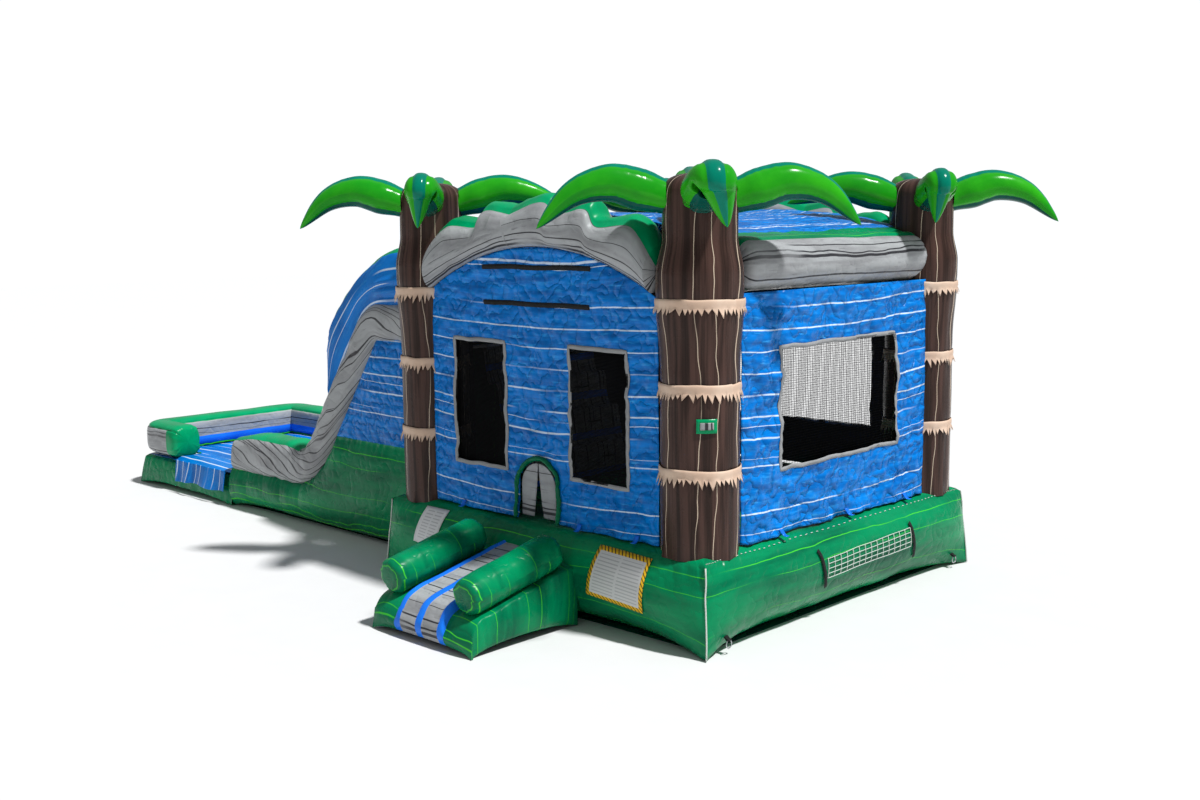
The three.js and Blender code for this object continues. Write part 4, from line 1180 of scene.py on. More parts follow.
def door_leaf(name, cad_node, body, sign):
    """Half of the doorway's marbled curtain, whose free edge hangs open towards the bottom."""
    low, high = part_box(cad_node)
    hinge = max(abs(low.x), abs(high.x))
    spring = high.z - hinge
    rows = []
    for t in np.linspace(0, 1, 36):
        z = low.z + (high.z - low.z - 0.002) * t
        outer = math.sqrt(max(hinge**2 - max(z - spring, 0) ** 2, 1e-6))
        inner = min(0.005 + 0.055 * (1 - t) ** 1.6, outer)
        x = inner + (outer - inner) * np.linspace(0, 1, 16)
        hang = 0.006 * noise(x * 18, z * 5, 211 + sign) * smooth((outer - x) / 0.06)
        rows.append(on_side("front", sign * x, WALL_PLANE + hang, z))
    leaf = surface(name, rows, "grey", thick=0.004, outward=False, body=body,
                   replaces=[cad_node], turn_uv=True)


def door():
    door_surround()
    door_leaf("left_door_curtain", "left_door_flap", "left_door", -1)
    door_leaf("right_door_curtain", "right_door_flap", "right_door", 1)


# ---- Entrance ramp ----
RAMP_FRONT_HEIGHT = 0.27
LANE_RISE = 0.06
LANE_HALF = 0.30
STRIP_HALF = 0.032
STRIP_RISE = 0.016
STRIP_PLACES = (-LANE_HALF + 0.03, 0.0, LANE_HALF - 0.03)


def ramp_height(distance):
    """The ramp's shoulder height, at a distance back from its front."""
    length = RAMP[1].y - RAMP[0].y
    back = RAMP[1].z - LANE_RISE
    straight = RAMP_FRONT_HEIGHT + (back - RAMP_FRONT_HEIGHT) * distance / length
    return straight - 0.09 * np.exp(-distance / 0.05)


def ramp_profile():
    """Columns across the ramp: (x, share of the height, lane rise, kind)."""
    half = RAMP[1].x
    side = [(-half, t, 0.0, 0) for t in np.linspace(0, 1, 15)]
    x = np.linspace(-half, half, 97)[1:-1]
    top = []
    for value in x:
        lane = smooth((LANE_HALF + 0.02 - abs(value)) / 0.04)
        strip = max(np.exp(-(((value - c) / STRIP_HALF) ** 4)) for c in STRIP_PLACES)
        kind = 0
        if abs(value) < LANE_HALF:
            kind = 2 if strip > 0.4 else 1
        shoulder = 0.02 * math.sin(math.pi * min(1.0, (half - abs(value)) / (half - LANE_HALF)))
        top.append((value, 1.0, lane * LANE_RISE + strip * STRIP_RISE + shoulder * (1 - lane), kind))
    return side + top + [(-a, t, r, k) for a, t, r, k in reversed(side)]


def entrance_ramp():
    columns = ramp_profile()
    x0 = np.array([c[0] for c in columns])
    share = np.array([c[1] for c in columns])
    rise = np.array([c[2] for c in columns])
    on_top = share >= 1
    half, front, back = RAMP[1].x, RAMP[0].y, RAMP[1].y
    length = back - front
    rows = []
    for q in np.linspace(0, 1, 16)[:-1]:
        corner = half - np.abs(x0)
        lift = 0.05 * (1 - np.exp(-corner / 0.12))
        full = (ramp_height(0.0) + rise) * np.where(on_top, 1.0, share)
        z = lift + (full - lift) * q
        z = np.where(on_top, z, full * q + 0.004 * (1 - q))
        bulge = 0.045 * math.sin(math.pi * min(q * 0.9 + 0.1, 1.0)) * (1 - np.exp(-corner / 0.1))
        y = front + 0.03 - bulge - 0.03 * (1 - q) * np.exp(-corner / 0.06)
        rows.append(np.stack([x0 * (1 - 0.01 * q), y + 0 * x0, z], axis=1))
    for distance in np.concatenate([np.linspace(0, 0.12, 9), np.linspace(0.14, length, 60)]):
        top = ramp_height(distance)
        corner = min(distance, length - distance)
        lift = 0.055 * (1 - math.exp(-corner / 0.18))
        z = np.where(on_top, top + rise, 0.004 + lift + (top - lift) * share)
        bulge = 0.035 * np.sin(np.pi * share) ** 0.7 * (1 - math.exp(-corner / 0.15))
        along = np.full(len(x0), distance)
        ripple = pucker(along, (1 - share) * top, 0.008, 0.05, 0.03, 221)
        side_x = np.sign(x0) * (half - 0.02 + bulge + ripple - 0.03 * lift / 0.055 * (share < 0.02))
        wrinkle = 0.005 * noise(x0 * 6, distance * 9, 223)
        x = np.where(on_top, x0 * (half - 0.02) / half, side_x)
        rows.append(np.stack([x, front + 0.03 + 0 * x + distance * (length - 0.03) / length,
                              z + wrinkle * on_top], axis=1))
    kinds = np.array([c[3] for c in columns])
    kinds = np.maximum(kinds[1:], kinds[:-1])
    faces = banded(kinds, len(rows) - 1)
    surface("entrance_ramp_cover", rows, ("green", "grey", "bright_blue"), faces=faces,
            turn_uv=True, replaces=["entrance_ramp"])


def bolster(cad_node, seed):
    """A fat round bumper with blunt, gathered ends."""
    low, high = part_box(cad_node)
    centre = (low + high) / 2
    radius = (high.x - low.x) / 2
    slope = math.atan2(RAMP[1].z - LANE_RISE - RAMP_FRONT_HEIGHT, RAMP[1].y - RAMP[0].y - 0.06)
    along = Vector((0, math.cos(slope), math.sin(slope)))
    up = Vector((0, -math.sin(slope), math.cos(slope)))
    half = (high.y - low.y - 2 * radius) / 2 / math.cos(slope) + radius
    share = np.linspace(-1, 1, 71)
    place = np.concatenate([[-half], share * half, [half]])
    end = half - np.abs(place)
    shape = 0.72 + 0.28 * blunt(end, 0.07)
    shape[0] = shape[-1] = 0.0
    dish = 0.015 * (shape < 0.1)
    angle = np.linspace(0, 2 * np.pi, 61)
    rows = []
    for k, s in enumerate(place):
        gather = pucker(angle * radius, end[k], 0.014, 0.05, 0.035, seed)
        lump = 0.004 * noise(angle * 2, s * 4, seed + 1)
        ring = (radius + gather + lump) * shape[k]
        ring[-1] = ring[0]
        step = s - math.copysign(dish[k], s)
        rows.append(np.stack([
            centre.x + ring * np.cos(angle),
            centre.y + along.y * step + up.y * ring * np.sin(angle),
            centre.z + along.z * step + up.z * ring * np.sin(angle),
        ], axis=1))
    surface(f"{cad_node}_cover", rows, "green", turn_uv=True, replaces=[cad_node])


def ramp():
    entrance_ramp()
    bolster("left_ramp_bolster", 231)
    bolster("right_ramp_bolster", 241)


# ---- Slide ----
PLATFORM_LENGTH = 0.88
SLOPE_LENGTH = 1.185
SLOPE_STRAIGHT = 0.75  # share of the slope before it bends out to the level run-out
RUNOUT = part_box("slide_bed")[0].z - 0.001
RAIL_HALF = 0.205
UPPER_REACH = 1.83
BLUE_PANEL_FOOT = 1.06
SLIDE_LENGTH = SLIDE_START - SLIDE_END


def slide_line(count):
    """The slide's surface as (distance from the house, height), evenly spaced."""
    foot = PLATFORM_LENGTH + SLOPE_LENGTH
    bend = (
        PLATFORM_LENGTH + SLOPE_STRAIGHT * SLOPE_LENGTH,
        PLATFORM - SLOPE_STRAIGHT * (PLATFORM - RUNOUT),
    )
    end = foot + 0.35 * SLOPE_LENGTH
    points = [(0.0, PLATFORM), (PLATFORM_LENGTH, PLATFORM), bend]
    for t in np.linspace(0, 1, 14)[1:]:
        d = (1 - t) ** 2 * bend[0] + 2 * t * (1 - t) * foot + t * t * end
        z = (1 - t) ** 2 * bend[1] + 2 * t * (1 - t) * RUNOUT + t * t * RUNOUT
        points.append((d, z))
    points.append((SLIDE_LENGTH, RUNOUT))
    return resample(points, count)


def rounded(line, passes):
    """A line with its corners eased by averaging, its ends kept."""
    for _ in range(passes):
        line = np.vstack([line[:1], (line[:-2] + 2 * line[1:-1] + line[2:]) / 4, line[-1:]])
    return line


def to_pool(d, y, z):
    d, y, z = np.broadcast_arrays(d, y, z)
    return np.stack([SLIDE_START - d, y, z], axis=-1)


def slide_rail(name, y0, y1, outer, seed):
    """The fat marbled rail that follows the slide; its top is green along the run-out."""
    line = rounded(slide_line(170), 3)
    line = resample(line, 170)
    normal = normals_of(line)
    centre = line + normal * RAIL_HALF
    run = smooth((line[:, 0] - 2.15) / 0.5) * smooth((SLIDE_LENGTH - line[:, 0]) / 0.45)
    angle = np.linspace(0, 2 * np.pi, 73)
    half_y, middle_y = (y1 - y0) / 2, (y0 + y1) / 2
    length = arc_length(line)
    end = length[-1] - length
    shape = 0.7 + 0.3 * blunt(end, 0.09)
    a, b = squared(np.cos(angle), 0.62), squared(np.sin(angle), 0.62)
    rows, uvs = [], []
    order = list(range(len(line))) + [len(line) - 1]
    for number, k in enumerate(order):
        closing = number == len(line)
        size = 0.0 if closing else shape[k]
        gather = pucker(angle * 0.2, end[k], 0.012, 0.06, 0.035, seed)
        lump = 0.008 * noise(length[k] * 2.4, angle * 1.2, seed + 1)
        fold = 0.007 * noise(length[k] * 9, angle * 0.8, seed + 2)
        grow = 1 + (gather + lump + fold) / RAIL_HALF
        grow[-1] = grow[0]
        hump = np.where(b > 0, 1 + 0.36 * run[k] * np.maximum(b, 0), 1.0)
        y = middle_y + half_y * a * size * grow
        rise = RAIL_HALF * b * size * grow * hump
        d = centre[k, 0] + normal[k, 0] * rise
        z = centre[k, 1] + normal[k, 1] * rise
        rows.append(to_pool(d, y, z))
        around = angle * 0.29
        uvs.append(np.stack([np.full(len(angle), length[k]), around * outer + 0.42 * length[k]], axis=1))
    middle = np.degrees(middles(angle))
    kinds = np.zeros((len(rows) - 1, len(middle)), int)
    green = (middle > 48) & (middle < 132)
    kinds[np.ix_(line[:, 0] > 2.25, green)] = 1
    surface(name, rows, ("grey", "green_plain"), uv=np.array(uvs), faces=kinds)


def upper_outline(count):
    """The upper wall's edge from the house to where it meets the rail."""
    crown = [(0.0, SIDE_TOP), (0.42, SIDE_TOP - 0.005), (0.80, SIDE_TOP - 0.06), (1.22, SIDE_TOP - 0.28),
             (1.55, SIDE_TOP - 0.55), (1.76, SIDE_TOP - 0.80), (UPPER_REACH, 1.98),
             (UPPER_REACH - 0.03, 1.66)]
    return resample(spline(crown, 200), count)


def upper_wall(name, cad_node, y0, y1, seed):
    """The tall side wall above the rail: blue panels that follow its rounded outline."""
    count = 120
    outer = upper_outline(count)
    rail = rounded(slide_line(400), 30)
    top = rail + normals_of(rail) * RAIL_HALF * 1.75
    inner = resample(top[top[:, 0] < UPPER_REACH - 0.04], count)
    thick = y1 - y0
    edge = 0.09
    face_rows, cap_rows = 30, 9
    normal = normals_of(outer)
    ring = []

    def relief(points, t):
        d, z = points[:, 0], points[:, 1]
        level = smooth((1.0 - d) / 0.25) * smooth((0.62 - t) / 0.1) * smooth(t / 0.08)
        tubes = 0.03 * np.abs(np.sin(np.pi * t / 0.62 * 3)) ** 0.6 * level
        gather = pucker(d + z, t * 0.7, 0.008, 0.05, 0.03, seed)
        gather = gather + pucker(d + z, (1 - t) * 0.7, 0.01, 0.05, 0.03, seed + 1)
        lumps = 0.01 * noise(d * 2.5, z * 2.5, seed + 2)
        return 0.055 * math.sin(math.pi * t) ** 0.6 + tubes + gather + lumps

    for t in np.linspace(0, 1, face_rows):
        at = inner + (outer - inner) * t
        ring.append((at, y0 + edge - relief(at, t)))
    for t in np.linspace(0, 1, cap_rows + 2)[1:-1]:
        puff = 0.05 * math.sin(math.pi * t) ** 0.6 + 0.006 * noise(outer[:, 0] * 12, t * 3, seed + 3)
        ring.append((outer + normal * np.stack([puff, puff], axis=1), y0 + edge + (thick - 2 * edge) * t))
    for t in np.linspace(1, 0, face_rows):
        at = inner + (outer - inner) * t
        ring.append((at, y1 - edge + relief(at, t)))
    points = crossed([to_pool(at[:, 0], y, at[:, 1]) for at, y in ring])
    kinds = np.zeros(len(ring) - 1, int)
    kinds[face_rows - 1 : face_rows + cap_rows] = 1
    faces = banded(kinds, count - 1)
    surface(name, points, ("blue_stripe", "green_plain"), faces=faces, replaces=[cad_node])


def slide_side(name, y, out_sign, seed):
    """The side under the rail: a green air wall below, a blue panel above it."""
    d = np.concatenate([np.linspace(0.0, 1.7, 90), np.linspace(1.72, SLIDE_LENGTH, 110)])
    line = slide_line(600)
    under = np.interp(d, line[:, 0], line[:, 1]) + 0.05
    split = np.minimum(BLUE_PANEL_FOOT, under)
    lift = 0.004 + (0.07 + 0.02 * noise(d * 1.6, 0.0, seed)) * (1 - np.exp(-(SLIDE_LENGTH - d) / 0.25))
    rows = []
    for t in np.linspace(0, 1, 5)[:-1]:
        rows.append((0.06 + 0.22 * (1 - t) + 0 * d, 0.004 + (lift - 0.004) * t**2))
    quilt = smooth((d - 2.0) / 0.3)
    for t in np.linspace(0, 1, 24):
        z = lift + (split - lift) * t
        crease = 0.03 * np.abs(np.sin(np.pi * (d - 2.0) / 0.36)) ** 0.5 * quilt * math.sin(math.pi * t) ** 0.5
        swell = 0.075 * np.minimum(1.0, (split - lift) / 0.5) * math.sin(math.pi * t) ** 0.7
        gather = pucker(d, t * (split - lift), 0.008, 0.06, 0.035, seed + 1)
        gather = gather + pucker(d, (1 - t) * (split - lift), 0.010, 0.07, 0.035, seed + 2)
        wave = 0.012 * noise(d * 2.1, z * 2.4, seed + 3)
        rows.append((0.06 - swell - crease * 0.6 + gather + wave, z))
    for t in np.linspace(0, 1, 24)[1:]:
        z = split + (under - split) * t
        tall = (under - split) / (PLATFORM - BLUE_PANEL_FOOT)
        swell = 0.06 * tall**0.5 * math.sin(math.pi * t) ** 0.7
        gather = pucker(d, t * (under - split), 0.007, 0.05, 0.035, seed + 4) * (tall > 0.02)
        rows.append((0.06 - swell + gather + 0.008 * noise(d * 3, z * 3, seed + 5) * tall, z))
    points = np.array([to_pool(d, y + out_sign * -inset, z) for inset, z in rows])
    kinds = np.zeros((len(rows) - 1, len(d) - 1), int)
    kinds[27:, :] = 1  # the faces above the split
    uv = np.stack(np.broadcast_arrays(d[None, :], np.array([z for _, z in rows])), axis=2)
    surface(name, points, ("green", "blue"), faces=kinds, uv=uv)


def slide_core():
    """The slide's back face, platform, slope and run-out in one skin, under the rails and the bed."""
    line = slide_line(90) - np.array([0.0, 0.004])
    down = [(0.0, z) for z in np.linspace(0.01, PLATFORM - 0.05, 20)]
    path = np.vstack([down, line, [(SLIDE_LENGTH - 0.002, 0.2), (SLIDE_LENGTH - 0.002, 0.01)]])
    y = np.linspace(SLIDE_FRONT + 0.07, SLIDE_BACK - 0.07, 40)
    points = np.array([to_pool(d + 0.004, y, z) for d, z in path])
    surface("slide_core_cover", points, "green", replaces=["slide_body"])


def slide_bed():
    """The sliding surface: a thick sheet laid in the lane, in long shallow channels."""
    line = slide_line(160)
    normal = normals_of(line)
    y = np.linspace(LANE_FRONT + 0.01, LANE_BACK - 0.01, 61)
    pitch = (y[-1] - y[0]) / 4
    crown = 0.012 * np.abs(np.sin(np.pi * (y - y[0]) / pitch)) ** 0.6
    rows = []
    for k in range(len(line)):
        lift = 0.004 + crown + 0.003 * noise(y * 7, k * 0.25, 301)
        at = line[k][None, :] + normal[k][None, :] * lift[:, None]
        rows.append(to_pool(at[:, 0], y, at[:, 1]))
    bed = surface("slide_bed_cover", rows, "blue_stripe", thick=0.004, outward=False,
                  replaces=["slide_bed"])


def slide():
    slide_core()
    slide_bed()
    slide_rail("slide_front_rail_cover", SLIDE_FRONT, LANE_FRONT, 1, 311)
    slide_rail("slide_back_rail_cover", LANE_BACK, SLIDE_BACK, -1, 321)
    depth = 0.06
    upper_wall("slide_front_upper_wall", "slide_front_side_wall", SLIDE_FRONT + depth / 2, LANE_FRONT, 331)
    upper_wall("slide_back_upper_wall", "slide_back_side_wall", LANE_BACK, SLIDE_BACK - depth / 2, 341)
    slide_side("slide_front_side_cover", SLIDE_FRONT, -1, 351)
    slide_side("slide_back_side_cover", SLIDE_BACK, 1, 361)


def climbing_wall():
    """Padded steps up to the slide's platform, with webbing hand loops."""
    low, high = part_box("climbing_wall")
    steps = 4
    rise, run = (PLATFORM - BASE_TOP) / steps, (high.x + WALL_PLANE) / steps
    points = [(high.x, BASE_TOP + 0.003)]
    for i in range(steps):
        face = high.x - run * i
        points.append((face + 0.01, BASE_TOP + rise * (i + 0.5)))
        points.append((face - 0.02, BASE_TOP + rise * (i + 0.95)))
        points.append((face - run + 0.06, BASE_TOP + rise * (i + 1.0) - 0.01))
    points.append((low.x + 0.004, PLATFORM - 0.01))
    path = spline(points, 110)
    y = np.linspace(low.y, high.y, 61)
    share = (y - low.y) / (high.y - low.y)
    rows = []
    for k, (x, z) in enumerate(path):
        pull = 0.03 * (1 - np.sin(np.pi * share) ** 0.3) + 0.004 * noise(y * 8, k * 0.3, 371)
        rows.append(np.stack([x - pull, y, np.full(61, z) - pull * 0.5], axis=1))
    surface("climbing_wall_cover", rows, ("grey", "bright_blue"),
            faces=np.repeat((np.arange(109) % 27 < 3).astype(int)[:, None], 60, axis=1),
            replaces=["climbing_wall"])
    loops = []
    for i in range(steps):
        for side in (-0.35, 0.35):
            x, z = high.x - run * i + 0.006, BASE_TOP + rise * (i + 0.55)
            turn = np.linspace(0, np.pi, 13)
            middle = (low.y + high.y) / 2 + side
            path = np.stack([x + 0.05 * np.sin(turn), middle + 0.09 * np.cos(turn), 0 * turn + z], axis=1)
            loops.append(tube("loop", path, 0.009, "strap"))
    joined("climbing_hand_loops", loops)


# ---- Landing pool ----
POOL_CENTRE = Vector(((POOL_START + POOL_END) / 2, (SLIDE_FRONT + SLIDE_BACK) / 2, 0))


def pool_base():
    half_x, half_y = (POOL_START - POOL_END) / 2, (SLIDE_BACK - SLIDE_FRONT) / 2
    for number, (side, half, across, bulge) in enumerate((
        ("front", half_x, half_y, 0.012), ("back", half_x, half_y, 0.012), ("left", half_y, half_x, 0.045),
    )):
        points = inflated_side(
            side, half, across, POOL_RIM, POOL_WALL, 400 + 20 * number, columns=130, lift=0.7, bulge=bulge,
        )
        points = points + np.array(POOL_CENTRE)
        if side != "left":
            gap = POOL_START + 0.015 - points[:, :, 0].max(axis=1)
            near = smooth(1 - (POOL_START - points[:, :, 0]) / 0.3)
            points[:, :, 0] += gap[:, None] * near
        surface(f"pool_{side}_base_cover", points, "green", turn_uv=True,
                replaces=["pool_base"] if side == "front" else ())


def pool_path():
    """The middle line of the pool's walls: the front stub, the end and the back, as (x, y)."""
    half = POOL_WALL / 2
    x, front, back = POOL_END + half, SLIDE_FRONT + half, SLIDE_BACK - half
    bend = 0.13
    quarter = np.linspace(0, np.pi / 2, 9)[1:-1]
    corner_a = [(x + bend - bend * math.sin(t), front + bend - bend * math.cos(t)) for t in quarter]
    corner_b = [(x + bend - bend * math.cos(t), back - bend + bend * math.sin(t)) for t in quarter]
    line = [(STUB_END, front), (x + bend, front), *corner_a, (x, front + bend), (x, back - bend),
            *corner_b, (x + bend, back), (POOL_START, back)]
    return resample(line, 190)


def pool_walls():
    """Puffed walls round the pool: grey outside, green on top, grey over blue inside."""
    path = pool_path()
    inward = -normals_of(path)
    half, tall = POOL_WALL / 2, (POOL_TOP - POOL_RIM) / 2
    length = arc_length(path)
    shape = 0.75 + 0.25 * blunt(length, 0.12)
    angle = np.linspace(0, 2 * np.pi, 73)
    a, b = squared(np.cos(angle), 0.62), squared(np.sin(angle), 0.55)
    outer_seam, inner_seam, foot_seam = 0.62, 2.5, math.pi + 0.05
    rows = []
    order = [0] + list(range(len(path)))
    for number, k in enumerate(order):
        size = 0.0 if number == 0 else shape[k]
        gather = pucker(angle * 0.2, length[k], 0.014, 0.06, 0.03, 421)
        seams = sum(np.exp(-(((angle - s) / 0.06) ** 2)) for s in (outer_seam, inner_seam, foot_seam))
        lump = 0.007 * noise(length[k] * 2.5, angle * 1.2, 422)
        ring = 1 + (gather + lump - 0.012 * seams + 0.006 * noise(length[k] * 14, 0.0, 423) * seams) / half
        ring[-1] = ring[0]
        across = -half * a * size * ring
        rows.append(np.stack([
            path[k, 0] + inward[k, 0] * across,
            path[k, 1] + inward[k, 1] * across,
            POOL_RIM + 0.004 + tall + tall * b * size * ring,
        ], axis=1))
    middle = middles(angle)
    kinds = np.where((middle > outer_seam) & (middle < inner_seam), 1, 0)
    kinds = np.where((middle > foot_seam) & (middle < 1.5 * math.pi), 2, kinds)
    faces = banded(kinds, len(rows) - 1)
    faces[:9, :] = 1
    surface("pool_wall_cover", rows, ("grey", "green_plain", "bright_blue"), faces=faces,
            replaces=["pool_end_wall", "pool_back_wall", "pool_front_wall"])


def pool_floor():
    """The blue floor inside the walls and over the entry sill."""
    low_x, high_x = POOL_END + POOL_WALL * 0.6, POOL_START
    x = np.linspace(low_x, high_x, 80)[None, :]
    y = np.linspace(SLIDE_FRONT + 0.02, SLIDE_BACK - POOL_WALL * 0.6, 90)[:, None]
    sill = smooth((y - SLIDE_FRONT) / 0.10)
    z = POOL_RIM + 0.004 + 0.03 * np.sin(np.pi * (x - low_x) / (high_x - low_x)) ** 0.5 * sill
    z = z + 0.006 * noise(x * 5, y * 5, 431) * sill - 0.012 * (1 - sill)
    stub = (x < STUB_END) & (y < SLIDE_FRONT + POOL_WALL)
    z = np.where(stub, POOL_RIM - 0.006, z)
    points = grid(x, y, z)
    surface("pool_floor_cover", points, "blue_stripe", turn_uv=True, outward=False)
    half = POOL_WALL - 0.02
    foot = [(STUB_END, SLIDE_FRONT + half), (POOL_END + half, SLIDE_FRONT + half),
            (POOL_END + half, SLIDE_BACK - half), (POOL_START - 0.02, SLIDE_BACK - half)]
    path = resample(foot, 160)
    height = POOL_RIM + 0.035 + 0.006 * noise(np.arange(160) * 0.4, 0.0, 433)
    tube("pool_foot_piping", np.column_stack([path, height]), 0.009, "lime")


def entry_flap():
    """A striped skirt that hangs over the pool's entry sill."""
    low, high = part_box("pool_entry_flap")
    x = np.linspace(low.x, high.x, 70)
    rows, uvs = [], []
    for t in np.linspace(0, 1, 26):
        hang = t**0.8
        bottom = low.z + 0.035 + 0.03 * noise(x * 2.6, 0.0, 441)
        z = high.z + (bottom - high.z) * t
        ripple = 0.5 + 0.5 * np.sin(x * 17 + 2.5 * noise(x * 2, 0.0, 442))
        y = low.y + 0.002 - 0.012 * t - 0.038 * hang * ripple - 0.006 * noise(x * 6, z * 6, 443) * hang
        rows.append(np.stack([x, y, z], axis=1))
        uvs.append(np.stack([0 * x + t * 0.3 + 2.0, x + 0.05 * t * t], axis=1))
    flap = surface("pool_entry_skirt", rows, "blue_stripe", uv=np.array(uvs), thick=0.005,
                   outward=False, body="entry_flap", replaces=["pool_entry_flap"])


def pool():
    pool_base()
    pool_walls()
    pool_floor()
    entry_flap()


# ---- Small pieces ----
VENT_STRAPS = (((-0.57, 0.61), (-0.45, 0.27)), ((0.85, 0.60), (0.95, 0.26)))  # top and foot, as (along, z)


def base_out(along, z, lift=0.012):
    """How far the house base's bulging face lies from the middle, plus a lift."""
    along = np.asarray(along, float)
    seam_inset, seam_z = base_seam(along, HALF_DEPTH, 20)
    t = np.clip((z - seam_z) / (BASE_TOP - RIM_DROP - seam_z), 0, 1)
    swell = SIDE_BULGE * (1 - np.exp(-(HALF_DEPTH - np.abs(along)) / 0.24))
    inset = seam_inset + (RIM_INSET - seam_inset) * t - swell * np.sin(np.pi * t) ** 0.75
    return HALF_WIDTH - inset + lift


def vent_net():
    """White knotted net over a vent, held between two black straps."""
    low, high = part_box("vent_net")
    lines = []
    for z in np.linspace(low.z, high.z, 5):
        y = np.linspace(low.y, high.y, 50)
        level = z + 0.006 * noise(y * 4, z * 9, 451) + 0.03 * (y - low.y) / (high.y - low.y)
        lines.append(np.stack([base_out(y, level), y, level], axis=1))
    for y in np.linspace(low.y, high.y, 15):
        z = np.linspace(low.z, high.z, 8) + 0.03 * (y - low.y) / (high.y - low.y)
        lean = y + 0.012 * (z - low.z)
        lines.append(np.stack([base_out(lean, z), lean, z], axis=1))
    cords = [tube("cord", line, 0.0032, "white_cord", sides=5) for line in lines]
    strands = joined("vent_net_strands", cords)
    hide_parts("vent_net")
    for number, (top, foot) in enumerate(VENT_STRAPS, 1):
        path = np.linspace(top, foot, 14)
        path[:, 0] += 0.012 * noise(path[:, 1] * 9, 0.0, 453)
        ribbon(f"vent_strap_{number}", "right", path, 0.034, lambda a, z: base_out(a, z, 0.016),
               "strap")


def notice(name, material, corners):
    """A blank notice stuck on the front base, from its four corners as (along, z)."""
    across, down = 16, 14
    p = [np.array(c) for c in corners]
    rows, uvs = [], []
    width = np.linalg.norm(p[1] - p[0])
    height = np.linalg.norm(p[3] - p[0])
    for t in np.linspace(0, 1, down):
        left, right = p[3] + (p[0] - p[3]) * t, p[2] + (p[1] - p[2]) * t
        at = left + (right - left) * np.linspace(0, 1, across)[:, None]
        rows.append(on_side("front", at[:, 0], base_out(at[:, 0], at[:, 1], 0.010), at[:, 1]))
        uvs.append(np.stack([np.linspace(0, width, across), np.full(across, t * height)], axis=1))
    surface(name, rows, material, uv=np.array(uvs), thick=0.002, outward=False)


def trunk_patch():
    """A small green patch on the near trunk."""
    centre = TRUNK["front_right"]
    for name, width, tall, lift, material in (
        ("trunk_patch_border", 0.17, 0.11, 0.013, "green_plain"),
        ("trunk_patch_face", 0.11, 0.055, 0.017, "grey"),
    ):
        angle = math.radians(-41) + np.linspace(-0.5, 0.5, 10) * width / TRUNK_BULGE
        rows = []
        for z in 1.78 + np.linspace(-0.5, 0.5, 6) * tall:
            rows.append(ring_of(centre, trunk_radius(z) + lift, angle, z))
        surface(name, rows, material, thick=0.004, outward=False)


def anchor_tabs():
    """Each anchor ring in steel, in a webbing tab sewn to the base."""
    for corner in TRUNK:
        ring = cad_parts[f"{corner}_anchor_ring"]
        ring.data.materials.clear()
        ring.data.materials.append(MATERIALS["steel"])
        low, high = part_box(f"{corner}_anchor_ring")
        y = (low.y + high.y) / 2
        away = 1 if "right" in corner else -1
        x = (low.x + high.x) / 2
        turn = np.linspace(-0.2 * np.pi, 1.2 * np.pi, 14)
        wire = 0.005
        loop = [(x - away * 0.07, high.z + 0.055)]
        loop += [(x + away * 0.009 * math.sin(a), high.z - wire - 0.009 * math.cos(a)) for a in turn[::-1]]
        loop += [(x - away * 0.07, high.z + 0.05)]
        rows = [[(px, y + w, pz) for px, pz in loop] for w in (-0.022, -0.008, 0.008, 0.022)]
        surface(f"{corner}_anchor_tab", crossed(rows), "strap", thick=0.002,
                outward=False)


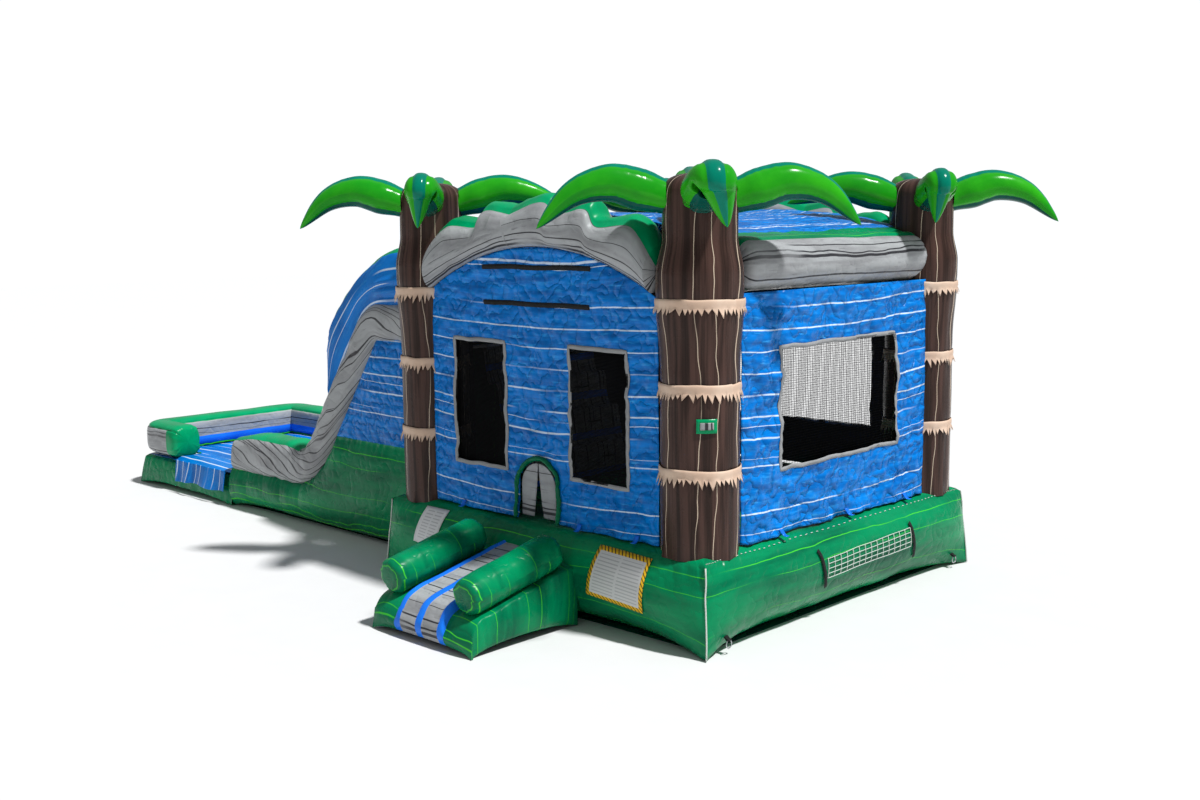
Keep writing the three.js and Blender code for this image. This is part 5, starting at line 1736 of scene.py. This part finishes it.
def blower_sleeve():
    """The cloth sleeve that the blower is strapped to, slack along its length."""
    low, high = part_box("blower_sleeve")
    x, radius = (low.x + high.x) / 2, (high.x - low.x) / 2
    angle = np.linspace(0, 2 * np.pi, 61)
    waist_at = 0.78
    rows = []
    for k, y in enumerate(np.linspace(low.y - 0.03, high.y, 46)):
        share = k / 45
        fold = 0.012 * noise(angle * 2.2, share * 4, 461) + 0.008 * noise(angle * 5, share * 9, 462)
        waist = 0.02 * math.exp(-(((share - waist_at) / 0.05) ** 2))
        ring = radius - 0.014 + (fold - waist) * smooth(share / 0.15)
        ring[-1] = ring[0]
        z = np.maximum(radius + ring * np.sin(angle), 0.006)
        rows.append(np.stack([x + ring * np.cos(angle), np.full(61, y), z], axis=1))
    sleeve = surface("blower_sleeve_cover", rows, "green", thick=0.004, turn_uv=True,
                     replaces=["blower_sleeve"])
    y = low.y + waist_at * (high.y - low.y)
    turn = np.linspace(0, 2 * np.pi, 49)[:-1]
    ring = radius - 0.022
    rows = []
    for offset in (-0.019, 0.0, 0.019):
        row = [(x + ring * math.cos(a), y + offset, max(radius + ring * math.sin(a), 0.01)) for a in turn]
        rows.append(row + [(x + ring, y + offset, radius)])
    surface("blower_sleeve_strap", crossed(rows), "strap", thick=0.003)


def ground_sheet():
    """The tough sheet under the house, the ramp, the slide and the pool."""
    inset = 0.16
    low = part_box("ground_sheet")[0]
    areas = [
        (-HALF_WIDTH + inset, HALF_WIDTH - inset, -HALF_DEPTH + inset, HALF_DEPTH - inset),
        (-RAMP[1].x + inset, RAMP[1].x - inset, RAMP[0].y + inset, -HALF_DEPTH + inset),
        (low.x + inset, -HALF_WIDTH + inset, SLIDE_FRONT + inset, SLIDE_BACK - inset),
    ]
    parts = []
    for x0, x1, y0, y1 in areas:
        x = np.linspace(x0, x1, 30)[None, :]
        y = np.linspace(y0, y1, 30)[:, None]
        z = 0.002 + 0.0008 * noise(x * 3, y * 3, 471)
        parts.append(surface("part", grid(x, y, z), "teal_deep", outward=False))
    sheet = joined("ground_sheet_cover", parts)
    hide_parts("ground_sheet")


def small_pieces():
    vent_net()
    notice("front_placard", "placard", [(0.84, 0.72), (1.41, 0.70), (1.36, 0.26), (0.75, 0.31)])
    notice("front_tag", "tag", [(-1.39, 0.72), (-1.07, 0.72), (-1.17, 0.36), (-1.49, 0.39)])
    trunk_patch()
    anchor_tabs()
    blower_sleeve()
    ground_sheet()


make_camera()
make_light()
make_floor()
house_base()
bounce_floor()
palms()
arch_beam("front")
arch_beam("back")
side_beam("right_side_beam", 1)
side_beam("left_side_beam", -1)
roof()
walls()
door()
ramp()
slide()
climbing_wall()
pool()
small_pieces()
